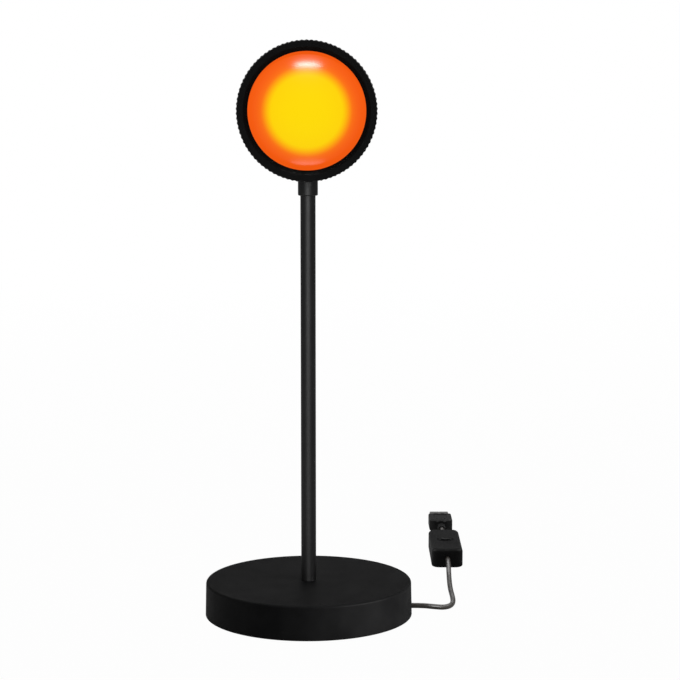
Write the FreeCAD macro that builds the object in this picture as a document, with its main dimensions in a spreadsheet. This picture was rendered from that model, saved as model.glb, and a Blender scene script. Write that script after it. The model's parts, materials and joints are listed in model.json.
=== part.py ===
import FreeCAD, Part
import math
import os
import Sketcher
from FreeCAD import Placement, Rotation, Vector

# Sunset projection lamp: a weighted round base, a thin pole, a swivel collar with a
# tilt knuckle, a turned head behind a knurled lens ring, and a lead that carries a
# press switch and a plug. Lengths are in millimetres and angles in degrees.
# The origin is at the middle of the base's underside, +Z is up, and the lens faces -Y.

SIZES = [
    # base
    ("base_radius", 55.6, "outer radius of the base at its rim"),
    ("base_draft", 0.4, "how much narrower the base is at the top"),
    ("base_height", 18.8, "table to the base's deck"),
    ("base_wall", 2.2, "side wall of the base cover"),
    ("base_deck", 2.2, "thickness of the base cover's deck"),
    ("base_edge", 1.3, "rounding where the wall meets the deck"),
    ("rim_lift", 0.6, "gap between the table and the cover's rim"),
    ("pad_inset", 6.6, "from the base's rim in to the foot pad's edge"),
    ("pad_thickness", 1.2, "anti-slip foot pad"),
    ("plate_thickness", 1.5, "bottom plate"),
    ("plate_gap", 0.3, "between the bottom plate and the cover's wall"),
    ("notch_depth", 2.0, "notch in the bottom plate beside the lead's bush"),
    ("ballast_thickness", 6.0, "steel weight"),
    ("ballast_gap", 2.5, "between the weight and the cover's wall"),
    ("ballast_bore", 13.0, "radius of the weight's middle hole"),
    ("slot_width", 15.0, "lead channel through the weight"),
    ("boss_inset", 13.6, "from the base's rim in to a screw boss's axis"),
    ("boss_count", 3, "screw bosses"),
    ("boss_radius", 3.6, "screw boss through the weight"),
    ("boss_shoulder", 6.0, "wider part of the boss, which holds the weight down"),
    ("boss_gap", 0.4, "between a boss and its hole in the weight"),
    ("base_screw_radius", 1.4, "shank of a base screw"),
    ("base_screw_length", 9.0, "whole length of a base screw"),
    ("base_screw_head", 2.7, "countersunk head of a base screw"),
    ("sink_depth", 1.2, "depth of a countersunk head"),
    ("screw_fit", 0.05, "between a screw and its hole"),
    # lead entry
    ("cord_radius", 1.4, "round two-core lead"),
    ("cord_fit", 0.05, "between the lead and a bore it lies in"),
    ("cord_height", 4.5, "axis of the lead where it enters the base"),
    ("grommet_radius", 2.6, "bush in the base wall"),
    ("grommet_flange", 3.3, "inner flange of the bush"),
    ("grommet_flange_thickness", 1.2, "inner flange of the bush"),
    ("grommet_seat_gap", 0.1, "between the bush's flange and the wall"),
    ("grommet_sink", 0.1, "how far the bush's end lies inside the wall's face"),
    ("clamp_inset", 19.6, "from the base's rim in to the clamp's middle"),
    ("clamp_width", 12.4, "across the lead"),
    ("clamp_length", 7.0, "along the lead"),
    ("clamp_wall", 1.6, "clamp above the lead"),
    ("clamp_screw_spacing", 8.2, "between the clamp's two screws"),
    ("clamp_screw_radius", 0.9, "shank of a clamp screw"),
    ("clamp_screw_head", 1.71, "head of a clamp screw"),
    ("clamp_screw_head_height", 0.9, "head of a clamp screw"),
    ("lead_turn", 4.5, "from the pole's axis to where the lead inside turns up"),
    ("lead_end_gap", 1.0, "from the pole's upper end down to the lead's end"),
    # pole
    ("pole_radius", 4.0, "outer radius of the pole"),
    ("pole_wall", 1.4, "wall of the pole"),
    ("pole_height", 207.2, "from the deck to the collar"),
    ("pole_insert", 6.0, "length of pole inside the collar"),
    ("spigot_step", 0.4, "how much thinner the pole's threaded foot is"),
    ("spigot_spare", 1.4, "thread showing below the nut"),
    ("groove_width", 1.6, "groove that the grub screw rides in"),
    ("groove_depth", 0.6, "groove that the grub screw rides in"),
    ("groove_up", 3.0, "from the collar's lower edge to the groove"),
    ("pole_washer_radius", 8.0, "washer under the deck"),
    ("pole_washer_thickness", 1.0, "washer under the deck"),
    ("pole_nut_radius", 6.6, "corner radius of the pole's nut"),
    ("pole_nut_thickness", 4.0, "nut under the deck"),
    # knuckle
    ("collar_wall", 1.2, "wall of the swivel collar round the pole"),
    ("collar_rise", 12.2, "from the collar's lower edge to the tilt axis"),
    ("collar_edge", 0.4, "bevel on the collar's lower edge"),
    ("pole_end_gap", 0.2, "above the pole's upper end inside the collar"),
    ("wire_way", 1.6, "radius of the way for the wires above the pole"),
    ("swivel_fit", 0.05, "radial running gap of the collar on the pole"),
    ("grub_radius", 1.2, "grub screw that keeps the collar on the pole"),
    ("grub_tip_gap", 0.25, "between the grub screw's tip and the groove's sides"),
    ("grub_floor_gap", 0.3, "between the grub screw's tip and the groove's floor"),
    ("grub_neck_gap", 0.05, "between the grub screw's step and the pole's bore line"),
    ("grub_sink", 0.1, "how far the grub screw lies inside the collar's face"),
    ("grub_socket", 0.66, "corner radius of the grub screw's socket"),
    ("grub_socket_depth", 0.5, "depth of the grub screw's socket"),
    ("ear_radius", 4.5, "rounded end of the fork's ears and the tongue"),
    ("ear_round", 4.3, "rounding of an ear's and the tongue's corners"),
    ("ear_face", 4.4, "from the middle to the face a screw head bears on"),
    ("fork_slot", 4.0, "width between the ears"),
    ("slot_gap", 0.5, "between the tongue's end and the slot's floor"),
    ("tongue_thickness", 3.0, "blade of the tilt tongue"),
    ("tilt_fit", 0.1, "side gap between the tongue and a washer"),
    ("pin_radius", 1.45, "shank of the tilt screw"),
    ("pin_fit", 0.05, "radial running gap of the tilt screw"),
    ("tilt_head_radius", 2.4, "head of the tilt screw"),
    ("tilt_head_height", 1.2, "head of the tilt screw"),
    ("tilt_socket", 1.32, "corner radius of the tilt screw's socket"),
    ("tilt_socket_depth", 0.84, "depth of the tilt screw's socket"),
    ("recess_gap", 0.2, "between a screw head or a nut and its recess"),
    ("washer_inset", 0.2, "from an ear's end in to a washer's edge"),
    ("tilt_nut_radius", 2.5, "round nut of the tilt screw"),
    ("tilt_nut_height", 1.6, "round nut of the tilt screw"),
    ("tongue_spigot", 2.5, "threaded stud on the tongue"),
    ("tongue_nut_radius", 4.6, "corner radius of the stud's nut"),
    ("tongue_nut_thickness", 2.4, "nut inside the head"),
    ("tongue_stud_spare", 0.6, "thread showing past the stud's nut"),
    ("nut_seat_gap", 0.4, "between that nut and its seat in the shell"),
    ("nut_seat_height", 4.0, "height of the room cut for that nut"),
    ("wire_bore", 0.9, "lead way through the stud"),
    # head
    ("head_front", 34.0, "from the pole's axis forward to the ring's face"),
    ("ring_radius", 36.0, "lens ring over its ribs"),
    ("ring_length", 18.0, "lens ring along the head"),
    ("ring_edge", 0.6, "bevel on the lens ring's edges"),
    ("ring_lip_width", 5.8, "from the ribs in to the opening that shows the lens"),
    ("ring_face_width", 3.5, "from the ribs in to the sloped inner face"),
    ("ring_slope", 2.5, "depth of the sloped inner face"),
    ("ring_lip", 3.5, "depth of the lip in front of the lens"),
    ("ring_bore_wall", 3.6, "from the ribs in to the bore that holds the lens"),
    ("ring_bore_end", 11.2, "where the lens bore meets the thread"),
    ("rib_count", 90, "ribs around the lens ring"),
    ("rib_cutter", 1.6, "radius of the hollow between two ribs"),
    ("rib_depth", 0.4, "depth of the hollow between two ribs"),
    ("ring_thread_wall", 2.9, "from the ribs in to the thread that the ring turns on"),
    ("thread_fit", 0.08, "radial running gap of that thread"),
    ("lens_gap", 0.3, "between the lens and the ring's lip"),
    ("lens_side_gap", 0.4, "between the lens's edge and the ring's bore"),
    ("lens_rim", 3.2, "thickness of the lens's edge"),
    ("dome_gap", 0.4, "between the dome's foot and the ring's opening"),
    ("lens_rise", 9.5, "height of the dome"),
    ("gasket_thickness", 1.4, "silicone ring behind the lens"),
    ("gasket_width", 2.2, "silicone ring behind the lens"),
    ("keeper_thickness", 2.2, "threaded ring that keeps the lens in"),
    ("keeper_width", 3.2, "threaded ring that keeps the lens in"),
    ("keeper_notch_width", 2.2, "slot across that ring for its key"),
    ("keeper_notch_depth", 1.1, "slot across that ring for its key"),
    ("keeper_fit", 0.05, "between that ring and the bore"),
    ("shell_start", 11.7, "front of the shell behind the ring's face"),
    ("shell_radius", 29.0, "outer radius of the shell"),
    ("shell_wall", 2.5, "wall of the shell"),
    ("shell_shoulder", 3.5, "length of the cone behind the thread"),
    ("shell_behind", 10.0, "from the pole's axis back to the shell's rear"),
    ("thread_relief", 1.0, "from the lens ring's rear to where the shell's bore narrows"),
    ("flat_depth", 1.0, "flat milled under the shell for the tongue"),
    ("flat_reach", 9.5, "half the length of that flat"),
    ("ear_gap", 0.3, "between the ears and that flat"),
    ("lug_inset", 6.6, "from the shell's outside in to a lug's axis"),
    ("lug_radius", 4.6, "lug for a rear screw"),
    ("lug_length", 10.0, "lug for a rear screw"),
    ("lug_count", 3, "lugs in the shell"),
    ("pilot_spare", 1.0, "how much deeper than its screw a lug is drilled"),
    ("sink_length", 14.0, "heat sink behind the shell"),
    ("sink_spigot", 3.0, "length of the heat sink inside the shell"),
    ("sink_spigot_gap", 0.2, "between the heat sink's spigot and the shell"),
    ("sink_edge", 1.0, "bevel on the heat sink's rear edge"),
    ("fin_gap", 1.8, "groove between two fins"),
    ("fin_thickness", 1.6, "a fin of the heat sink"),
    ("fin_depth", 3.4, "depth of a groove between fins"),
    ("fin_gaps", 3, "grooves between fins"),
    ("pedestal_radius", 11.0, "seat of the light source"),
    ("pedestal_length", 5.0, "seat of the light source"),
    ("rear_screw_radius", 1.25, "shank of a rear screw"),
    ("rear_screw_head", 2.4, "head of a rear screw"),
    ("rear_screw_head_height", 1.8, "head of a rear screw"),
    ("rear_screw_depth", 2.2, "how deep the head lies in the heat sink"),
    ("rear_screw_bite", 6.0, "length of a rear screw inside its lug"),
    ("board_inset", 0.5, "from the seat's edge in to the light board's edge"),
    ("board_thickness", 1.6, "round light board"),
    ("board_screw_inset", 1.9, "from the board's edge in to its two screws"),
    ("board_screw_radius", 0.9, "shank of a board screw"),
    ("board_screw_head", 1.7, "head of a board screw"),
    ("board_screw_head_height", 0.9, "head of a board screw"),
    ("board_screw_bite", 3.0, "length of a board screw in the pedestal"),
    ("board_pilot_spare", 0.5, "how much deeper than its screw the pedestal is drilled"),
    ("chip_side", 6.0, "side of the light source"),
    ("chip_thickness", 0.9, "height of the light source"),
    ("cup_throat", 4.6, "inner radius of the light cup at the board"),
    ("filter_ledge", 0.8, "ledge in the light cup that the filter's edge rests on"),
    ("cup_length", 14.4, "length of the light cup"),
    ("cup_wall", 1.2, "wall of the light cup"),
    ("cup_seat", 1.4, "depth of the seat for the colour filter"),
    ("filter_radius", 17.8, "coated glass disc"),
    ("filter_thickness", 1.2, "coated glass disc"),
    ("filter_fit", 0.05, "between the filter and its seat"),
    ("head_lead_radius", 0.7, "thin lead inside the head"),
    ("head_lead_start", 3.5, "from the shell's bore line up to that lead's start"),
    ("head_lead_landing", 0.8, "behind the board's face, where that lead ends"),
    ("head_lead_gap", 0.1, "between that lead's end and the board's edge"),
    # switch on the lead
    ("switch_x", 80.1, "middle of the switch, across"),
    ("switch_y", 127.2, "middle of the switch, along the lead"),
    ("switch_half_width", 9.15, "across the lead"),
    ("switch_half_length", 26.7, "along the lead"),
    ("switch_height", 11.0, "thickness of the switch"),
    ("switch_split", 5.5, "height of the parting line and of the lead"),
    ("switch_corner", 4.8, "rounding of the switch's corners in plan"),
    ("switch_edge", 2.2, "rounding of the switch's upper edge"),
    ("switch_sole_edge", 1.0, "rounding of the switch's lower edge"),
    ("switch_wall", 1.6, "wall of the switch's shells"),
    ("dish_width", 1.0, "shallow groove round the lip"),
    ("dish_depth", 0.5, "shallow dish round the button"),
    ("lip_width", 0.95, "raised lip round the button's hole"),
    ("button_radius", 2.9, "press button"),
    ("button_gap", 0.25, "between the button and its hole"),
    ("button_proud", 0.6, "button above the switch's face"),
    ("button_flange_width", 1.0, "flange that keeps the button in"),
    ("button_flange_thickness", 0.9, "flange that keeps the button in"),
    ("button_play", 0.3, "between that flange and the case's top"),
    ("button_edge", 0.4, "rounding of the button's edge"),
    ("button_stem", 1.2, "radius of the button's stem"),
    ("stem_dip", 0.4, "how far the stem stands in its well"),
    ("latch_top", 5.0, "top of the latching contact block"),
    ("latch_half_side", 4.0, "latching contact block"),
    ("latch_corner", 0.6, "rounding of the block's corners in plan"),
    ("latch_floor", 0.8, "floor of the block's well"),
    ("latch_well", 1.55, "radius of the well that takes the stem"),
    ("spring_radius", 2.3, "mean radius of the button's spring"),
    ("spring_wire", 0.2, "radius of the spring's wire"),
    ("spring_turns", 3, "turns of the spring"),
    ("case_screw_inset", 9.7, "from the switch's end in to a screw"),
    ("case_post", 2.4, "post round a switch screw"),
    ("case_screw_radius", 0.9, "shank of a switch screw"),
    ("case_screw_head", 1.6, "head of a switch screw"),
    ("case_screw_head_height", 1.1, "head of a switch screw"),
    ("case_screw_depth", 1.5, "how deep that head lies in the sole"),
    ("case_screw_gap", 0.15, "between a switch screw and its hole in the sole"),
    ("case_screw_spare", 0.5, "from a switch screw's tip to the case's top"),
    # plug on the lead's end
    ("plug_x", 80.8, "middle of the plug, across"),
    ("plug_y", 184.3, "tail of the plug"),
    ("plug_height", 3.7, "axis of the plug above the table"),
    ("tail_start_radius", 2.1, "strain relief where the lead enters"),
    ("tail_end_radius", 2.6, "strain relief where it meets the neck"),
    ("tail_length", 5.6, "strain relief"),
    ("tail_socket", 2.5, "how deep the lead enters the strain relief"),
    ("neck_radius", 3.6, "round neck of the grip"),
    ("neck_length", 3.6, "round neck of the grip"),
    ("shoulder_length", 2.7, "taper from the neck to the grip"),
    ("grip_half_width", 7.25, "grip across"),
    ("grip_half_height", 3.7, "grip through its thickness"),
    ("grip_length", 17.6, "grip along the lead"),
    ("grip_edge", 1.1, "rounding of the grip's edges"),
    ("panel_half_width", 4.3, "sunk panel on the grip"),
    ("panel_length", 11.0, "sunk panel on the grip"),
    ("panel_depth", 0.3, "sunk panel on the grip"),
    ("panel_inset", 3.2, "from the grip's front to the panel"),
    ("panel_corner", 0.6, "rounding of the panel's corners"),
    ("dimple_radius", 0.65, "moulding dimple behind the panel"),
    ("dimple_spacing", 4.8, "between the two dimples"),
    ("dimple_gap", 1.3, "from the panel to the dimples' middle"),
    ("plug_half_width", 6.0, "metal shell across"),
    ("plug_half_height", 2.25, "metal shell through its thickness"),
    ("plug_length", 11.0, "metal shell in front of the grip"),
    ("plug_root", 5.0, "metal shell inside the grip"),
    ("plug_corner", 0.7, "rounding of the metal shell's long edges"),
    ("plug_wall", 0.35, "sheet of the metal shell"),
    ("plug_fit", 0.05, "between the metal shell and what it touches"),
    ("window_width", 2.5, "latch window"),
    ("window_length", 1.9, "latch window"),
    ("window_from_tip", 4.7, "from the shell's front edge to a window"),
    ("window_spacing", 4.3, "between the middles of two windows"),
    ("seam_width", 0.16, "open joint of the folded sheet"),
    ("seam_tooth", 0.7, "how far the joint steps sideways"),
    ("tongue_height", 1.9, "contact carrier inside the plug"),
    ("tongue_setback", 0.8, "from the shell's front edge to the carrier"),
    ("contact_width", 1.0, "plated contact"),
    ("contact_length", 7.0, "plated contact"),
    ("contact_thickness", 0.2, "plated contact"),
    ("contact_pitch", 2.0, "between two contacts"),
    ("contact_setback", 1.0, "from the carrier's front edge to the contacts"),
]

# Points of the lead's free stretches. The lower one leaves the base's bush, turns back
# along the table and climbs to the switch; the upper one joins the switch to the plug.
LOWER_ROUTE = [
    (55.5, 0.0, 4.5), (61.5, 0.0, 4.5), (67.8, 1.6, 3.4), (73.3, 5.2, 2.0),
    (77.2, 10.6, 1.45), (79.0, 17.6, 1.5), (79.3, 29.0, 1.45), (78.9, 46.0, 1.5),
    (79.3, 64.0, 1.45), (79.7, 77.0, 2.0), (80.0, 87.0, 4.5), (80.1, 94.0, 5.5),
    (80.1, 101.3, 5.5),
]
UPPER_ROUTE = [
    (80.1, 153.1, 5.5), (80.1, 159.0, 5.5), (80.3, 166.5, 4.2), (80.7, 174.0, 3.2),
    (80.8, 180.5, 3.7), (80.8, 186.3, 3.7),
]
# The thin lead inside the head, measured from the upper end of the knuckle's stud.
HEAD_ROUTE = [(0.0, 0.0, 0.0), (0.0, 0.2, 5.0), (0.0, 1.0, 9.0)]

document = FreeCAD.newDocument("sunset_lamp")
sheet = document.addObject("Spreadsheet::Sheet", "Sizes")
for row, (alias, number, meaning) in enumerate(SIZES, start=1):
    sheet.set("A%d" % row, meaning)
    sheet.set("B%d" % row, str(number))
    sheet.setAlias("B%d" % row, alias)
document.recompute()


class Length:
    """A length worked out from the sheet: its value now, and the expression that keeps it."""

    def __init__(self, value, text):
        self.value = float(value)
        self.text = text

    def join(self, other, sign, value):
        return Length(value, "(%s %s %s)" % (self.text, sign, as_length(other).text))

    def __add__(self, other):
        return self.join(other, "+", self.value + as_length(other).value)

    def __sub__(self, other):
        return self.join(other, "-", self.value - as_length(other).value)

    def __mul__(self, other):
        return self.join(other, "*", self.value * as_length(other).value)

    def __truediv__(self, other):
        return self.join(other, "/", self.value / as_length(other).value)

    def __radd__(self, other):
        return as_length(other) + self

    def __rsub__(self, other):
        return as_length(other) - self

    def __rmul__(self, other):
        return as_length(other) * self

    def __neg__(self):
        return Length(-self.value, "(-%s)" % self.text)


def as_length(number):
    return number if isinstance(number, Length) else Length(number, repr(float(number)))


def size(alias):
    return Length(sheet.get(alias), "Sizes." + alias)


def bind(feature, name, length):
    """Ties one property of a feature to the sheet."""
    feature.setExpression(name, as_length(length).text)


# ---------------------------------------------------------------- building blocks

OVERRUN = 1.0      # how far a cut starts before a face, and how far it passes one
AXIS_LENGTH = 5.0  # length of the line that marks a turned shape's own axis
BEND_SHARE = 0.45  # share of a lead's shorter run that one bend may take

sub_parts = []
cuts = []


def new_body(label, at=(0.0, 0.0, 0.0), turn=None):
    """A body whose own frame stands at a point of the lamp, turned as the piece lies."""
    body = document.addObject("PartDesign::Body", label)
    body.Label = label
    body.Placement = Placement(Vector(), turn or Rotation())
    for letter, place in zip("xyz", at):
        bind(body, "Placement.Base." + letter, place)
    sub_parts.append(body)
    return body


def origin_feature(body, role):
    return [item for item in body.Origin.OriginFeatures if item.Role == role][0]


def new_sketch(body, plane, lift=0.0):
    """A sketch on one of the body's own planes, lifted along the plane's normal."""
    sketch = body.newObject("Sketcher::SketchObject", body.Label + "_sketch")
    sketch.AttachmentSupport = [(origin_feature(body, plane + "_Plane"), "")]
    sketch.MapMode = "FlatFace"
    bind(sketch, "AttachmentOffset.Base.z", lift)
    return sketch


def dimension(sketch, kind, names, length):
    """A driving dimension; a distance of nothing puts the point on the axis instead."""
    length = as_length(length)
    if kind in ("DistanceX", "DistanceY") and length.text == "0.0":
        axis = -2 if kind == "DistanceX" else -1
        sketch.addConstraint(Sketcher.Constraint("PointOnObject", names[0], names[1], axis))
        return
    if kind in ("DistanceX", "DistanceY"):
        names = (-1, 1) + names
    index = sketch.addConstraint(Sketcher.Constraint(kind, *names, length.value))
    sketch.setExpression("Constraints[%d]" % index, length.text)


def pin_point(sketch, geometry, end, across, up):
    dimension(sketch, "DistanceX", (geometry, end), across)
    dimension(sketch, "DistanceY", (geometry, end), up)


def add_circle(sketch, radius, across=0.0, up=0.0):
    centre = Vector(as_length(across).value, as_length(up).value, 0)
    circle = Part.Circle(centre, Vector(0, 0, 1), as_length(radius).value)
    index = sketch.addGeometry(circle, False)
    pin_point(sketch, index, 3, across, up)
    dimension(sketch, "Radius", (index,), radius)


def add_outline(sketch, corners):
    """A closed outline through its corners; a corner with a third entry is rounded."""
    corners = [tuple(as_length(entry) for entry in corner) for corner in corners]
    spots = [Vector(corner[0].value, corner[1].value, 0) for corner in corners]
    count = len(corners)
    entries, exits, arcs = [], [], []
    for i, corner in enumerate(corners):
        spot = spots[i]
        entry = leave = spot
        arc = None
        if len(corner) == 3:
            back = (spots[i - 1] - spot).normalize()
            ahead = (spots[(i + 1) % count] - spot).normalize()
            half = back.getAngle(ahead) / 2
            radius = corner[2].value
            entry = spot + back * (radius / math.tan(half))
            leave = spot + ahead * (radius / math.tan(half))
            centre = spot + (back + ahead).normalize() * (radius / math.sin(half))
            arc = (entry, centre + (spot - centre).normalize() * radius, leave)
        entries.append(entry)
        exits.append(leave)
        arcs.append(arc)
    lines = [
        sketch.addGeometry(Part.LineSegment(exits[i], entries[(i + 1) % count]), False)
        for i in range(count)
    ]
    for i, corner in enumerate(corners):
        before, after = lines[i - 1], lines[i]
        if arcs[i] is None:
            sketch.addConstraint(Sketcher.Constraint("Coincident", before, 2, after, 1))
            pin_point(sketch, after, 1, corner[0], corner[1])
            continue
        index = sketch.addGeometry(Part.Arc(*arcs[i]), False)
        starts = (sketch.Geometry[index].StartPoint - arcs[i][0]).Length < 1e-6
        first, last = (1, 2) if starts else (2, 1)
        mark = sketch.addGeometry(Part.Point(spots[i]), True)
        sketch.addConstraint(Sketcher.Constraint("Tangent", before, 2, index, first))
        sketch.addConstraint(Sketcher.Constraint("Tangent", index, last, after, 1))
        sketch.addConstraint(Sketcher.Constraint("PointOnObject", mark, 1, before))
        sketch.addConstraint(Sketcher.Constraint("PointOnObject", mark, 1, after))
        pin_point(sketch, mark, 1, corner[0], corner[1])
        dimension(sketch, "Radius", (index,), corner[2])


def add_rectangle(sketch, left, low, right, high, corner=None):
    rounding = () if corner is None else (corner,)
    add_outline(sketch, [
        (left, low) + rounding, (right, low) + rounding,
        (right, high) + rounding, (left, high) + rounding,
    ])


def add_polygon(sketch, radius, sides=6):
    angles = [2 * math.pi * side / sides for side in range(sides)]
    add_outline(sketch, [
        (radius * round(math.cos(angle), 9), radius * round(math.sin(angle), 9))
        for angle in angles
    ])


def profile_feature(body, kind, sketch):
    feature = body.newObject("PartDesign::" + kind, body.Label + "_" + kind.lower())
    feature.Profile = sketch
    sketch.Visibility = False
    return feature


def turn_sketch(body, sketch, kind="Revolution", axis="V_Axis"):
    """Carries a sketch once round one of its axes, as a shape or as a groove."""
    feature = profile_feature(body, kind, sketch)
    feature.ReferenceAxis = (sketch, [axis])
    feature.Angle = 360
    return feature


def turn_profile(body, corners):
    """A turned shape about the body's own Z axis."""
    sketch = new_sketch(body, "XZ")
    add_outline(sketch, corners)
    return turn_sketch(body, sketch)


def turn_beside(body, across, corners, kind="Revolution"):
    """The same about an upright line that stands at a distance along the body's own X."""
    sketch = new_sketch(body, "XZ")
    add_outline(sketch, corners)
    foot, end = Vector(across.value, 0, 0), Vector(across.value, AXIS_LENGTH, 0)
    axis = sketch.addGeometry(Part.LineSegment(foot, end), True)
    sketch.addConstraint(Sketcher.Constraint("Vertical", axis))
    pin_point(sketch, axis, 1, across, 0.0)
    dimension(sketch, "DistanceY", (axis, 2), AXIS_LENGTH)
    return turn_sketch(body, sketch, kind, "Axis0")


def pad(body, sketch, length, down=False, both_ways=False):
    feature = profile_feature(body, "Pad", sketch)
    bind(feature, "Length", length)
    feature.Reversed = down
    if both_ways:
        feature.SideType = "Symmetric"
    return feature


def pocket(body, sketch, length, along_normal=False, both_ways=False):
    """Cuts against the sketch's normal, or along it, and makes sure that it did cut."""
    feature = profile_feature(body, "Pocket", sketch)
    bind(feature, "Length", length)
    feature.Reversed = along_normal
    if both_ways:
        feature.SideType = "Symmetric"
    cuts.append(feature)
    return feature


def repeat_round(body, features, count):
    """Repeats features evenly about the body's own Z axis."""
    pattern = body.newObject("PartDesign::PolarPattern", body.Label + "_pattern")
    pattern.Originals = features
    pattern.Axis = (origin_feature(body, "Z_Axis"), [""])
    pattern.Angle = 360
    bind(pattern, "Occurrences", count)
    body.Tip = pattern
    return pattern


def repeat_in_line(body, features, axis, length, count):
    pattern = body.newObject("PartDesign::LinearPattern", body.Label + "_row")
    pattern.Originals = features
    pattern.Direction = (origin_feature(body, axis + "_Axis"), [""])
    bind(pattern, "Length", length)
    bind(pattern, "Occurrences", count)
    body.Tip = pattern
    return pattern


def mirror(body, features, plane):
    feature = body.newObject("PartDesign::Mirrored", body.Label + "_mirror")
    feature.Originals = features
    feature.MirrorPlane = (origin_feature(body, plane + "_Plane"), [""])
    body.Tip = feature
    return feature


def soften(body, length, picks, kind="Fillet"):
    """Rounds or bevels the edges of the newest feature that the test picks."""
    document.recompute()
    base = body.Tip
    names = [
        "Edge%d" % (number + 1)
        for number, edge in enumerate(base.Shape.Edges)
        if picks(edge)
    ]
    feature = body.newObject("PartDesign::" + kind, body.Label + "_" + kind.lower())
    feature.Base = (base, names)
    bind(feature, "Radius" if kind == "Fillet" else "Size", length)
    return feature


def lies_at(height):
    """Picks the edges that lie flat at one height of the body's own frame."""
    level = as_length(height).value
    return lambda edge: (
        abs(edge.BoundBox.ZMin - level) < 1e-5 and abs(edge.BoundBox.ZMax - level) < 1e-5
    )


def new_ring(label, at, turn, outer, inner, low, high):
    """A plain turned ring about the body's own Z axis."""
    body = new_body(label, at, turn)
    turn_profile(body, [(inner, low), (outer, low), (outer, high), (inner, high)])
    return body


# ---------------------------------------------------------------- shared places

HEAD_TURN = Rotation(Vector(1, 0, 0), -90)   # the head's own +Z runs back along +Y, its +Y down
ACROSS_TURN = Rotation(Vector(0, 1, 0), 90)  # a pin's own +Z runs along +X
REAR_TURN = Rotation(Vector(1, 0, 0), 180)   # a screw driven from below

pad_radius = size("base_radius") - size("pad_inset")
boss_circle = size("base_radius") - size("boss_inset")
clamp_x = size("base_radius") - size("clamp_inset")
deck_under = size("base_height") - size("base_deck")
plate_top = size("pad_thickness") + size("plate_thickness")
ballast_top = plate_top + size("ballast_thickness")
cover_bore = size("base_radius") - size("base_wall")
pole_bore = size("pole_radius") - size("pole_wall")
spigot_radius = size("pole_radius") - size("spigot_step")
collar_radius = size("pole_radius") + size("swivel_fit") + size("collar_wall")
spigot_hole = spigot_radius + size("screw_fit")
collar_low = size("base_height") + size("pole_height")
tilt_axis = collar_low + size("collar_rise")
flat_up = size("ear_radius") + size("ear_gap")
tongue_nut_low = flat_up + size("shell_wall") - size("flat_depth")
head_axis = tilt_axis + flat_up + size("shell_radius") - size("flat_depth")
HEAD = (0.0, -size("head_front"), head_axis)
PIVOT = (0.0, 0.0, tilt_axis)
ring_opening = size("ring_radius") - size("ring_lip_width")
ring_mouth = size("ring_radius") - size("ring_face_width")
ring_bore = size("ring_radius") - size("ring_bore_wall")
thread_radius = size("ring_radius") - size("ring_thread_wall")
shell_length = size("head_front") + size("shell_behind")
shell_bore = size("shell_radius") - size("shell_wall")
lug_circle = size("shell_radius") - size("lug_inset")
lug_rear = shell_length - size("sink_spigot")
board_radius = size("pedestal_radius") - size("board_inset")
board_screw_circle = board_radius - size("board_screw_inset")
pedestal_front = lug_rear - size("pedestal_length")
board_front = pedestal_front - size("board_thickness")
sink_rear = shell_length + size("sink_length")
lens_front = size("ring_lip") + size("lens_gap")
lens_rear = lens_front + size("lens_rim")
lens_edge = ring_bore - size("lens_side_gap")
lens_dome = ring_opening - size("dome_gap")
gasket_rear = lens_rear + size("gasket_thickness")
lead_bore = size("cord_radius") + size("cord_fit")
button_hole = size("button_radius") + size("button_gap")
case_screw_y = size("switch_half_length") - size("case_screw_inset")
SWITCH = (size("switch_x"), size("switch_y"), 0.0)
PLUG = (size("plug_x"), size("plug_y"), size("plug_height"))


# ---------------------------------------------------------------- base

def make_base_cover():
    """A turned cup, open below, with stepped bosses that reach through the weight."""
    body = new_body("base_cover")
    top_radius = size("base_radius") - size("base_draft")
    turn_profile(body, [
        (spigot_hole, deck_under), (cover_bore, deck_under), (cover_bore, size("rim_lift")),
        (size("base_radius"), size("rim_lift")),
        (top_radius, size("base_height"), size("base_edge")),
        (spigot_hole, size("base_height")),
    ])
    shoulder = new_sketch(body, "XY", deck_under)
    add_circle(shoulder, size("boss_shoulder"), -boss_circle)
    wide = pad(body, shoulder, deck_under - ballast_top, down=True)
    post = new_sketch(body, "XY", deck_under)
    add_circle(post, size("boss_radius"), -boss_circle)
    narrow = pad(body, post, deck_under - plate_top, down=True)
    pilot = new_sketch(body, "XY", plate_top)
    add_circle(pilot, size("base_screw_radius") + size("screw_fit"), -boss_circle)
    drilled = pocket(body, pilot, size("base_screw_length"), along_normal=True)
    repeat_round(body, [wide, narrow, drilled], size("boss_count"))
    entry = new_sketch(body, "YZ", cover_bore - OVERRUN)
    add_circle(entry, size("grommet_radius") + size("screw_fit"), 0.0, size("cord_height"))
    pocket(body, entry, size("base_wall") + 2 * OVERRUN, along_normal=True)


def make_ballast():
    """A steel disc that lies on the bottom plate, slotted for the lead and its clamp."""
    body = new_body("ballast_disc")
    turn_profile(body, [
        (size("ballast_bore"), plate_top), (cover_bore - size("ballast_gap"), plate_top),
        (cover_bore - size("ballast_gap"), ballast_top), (size("ballast_bore"), ballast_top),
    ])
    holes = new_sketch(body, "XY", ballast_top)
    add_circle(holes, size("boss_radius") + size("boss_gap"), -boss_circle)
    drilled = pocket(body, holes, size("ballast_thickness"))
    repeat_round(body, [drilled], size("boss_count"))
    slot = new_sketch(body, "XY", ballast_top)
    half = size("slot_width") / 2
    add_rectangle(slot, 0.0, -half, size("base_radius"), half)
    pocket(body, slot, size("ballast_thickness"))


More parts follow.
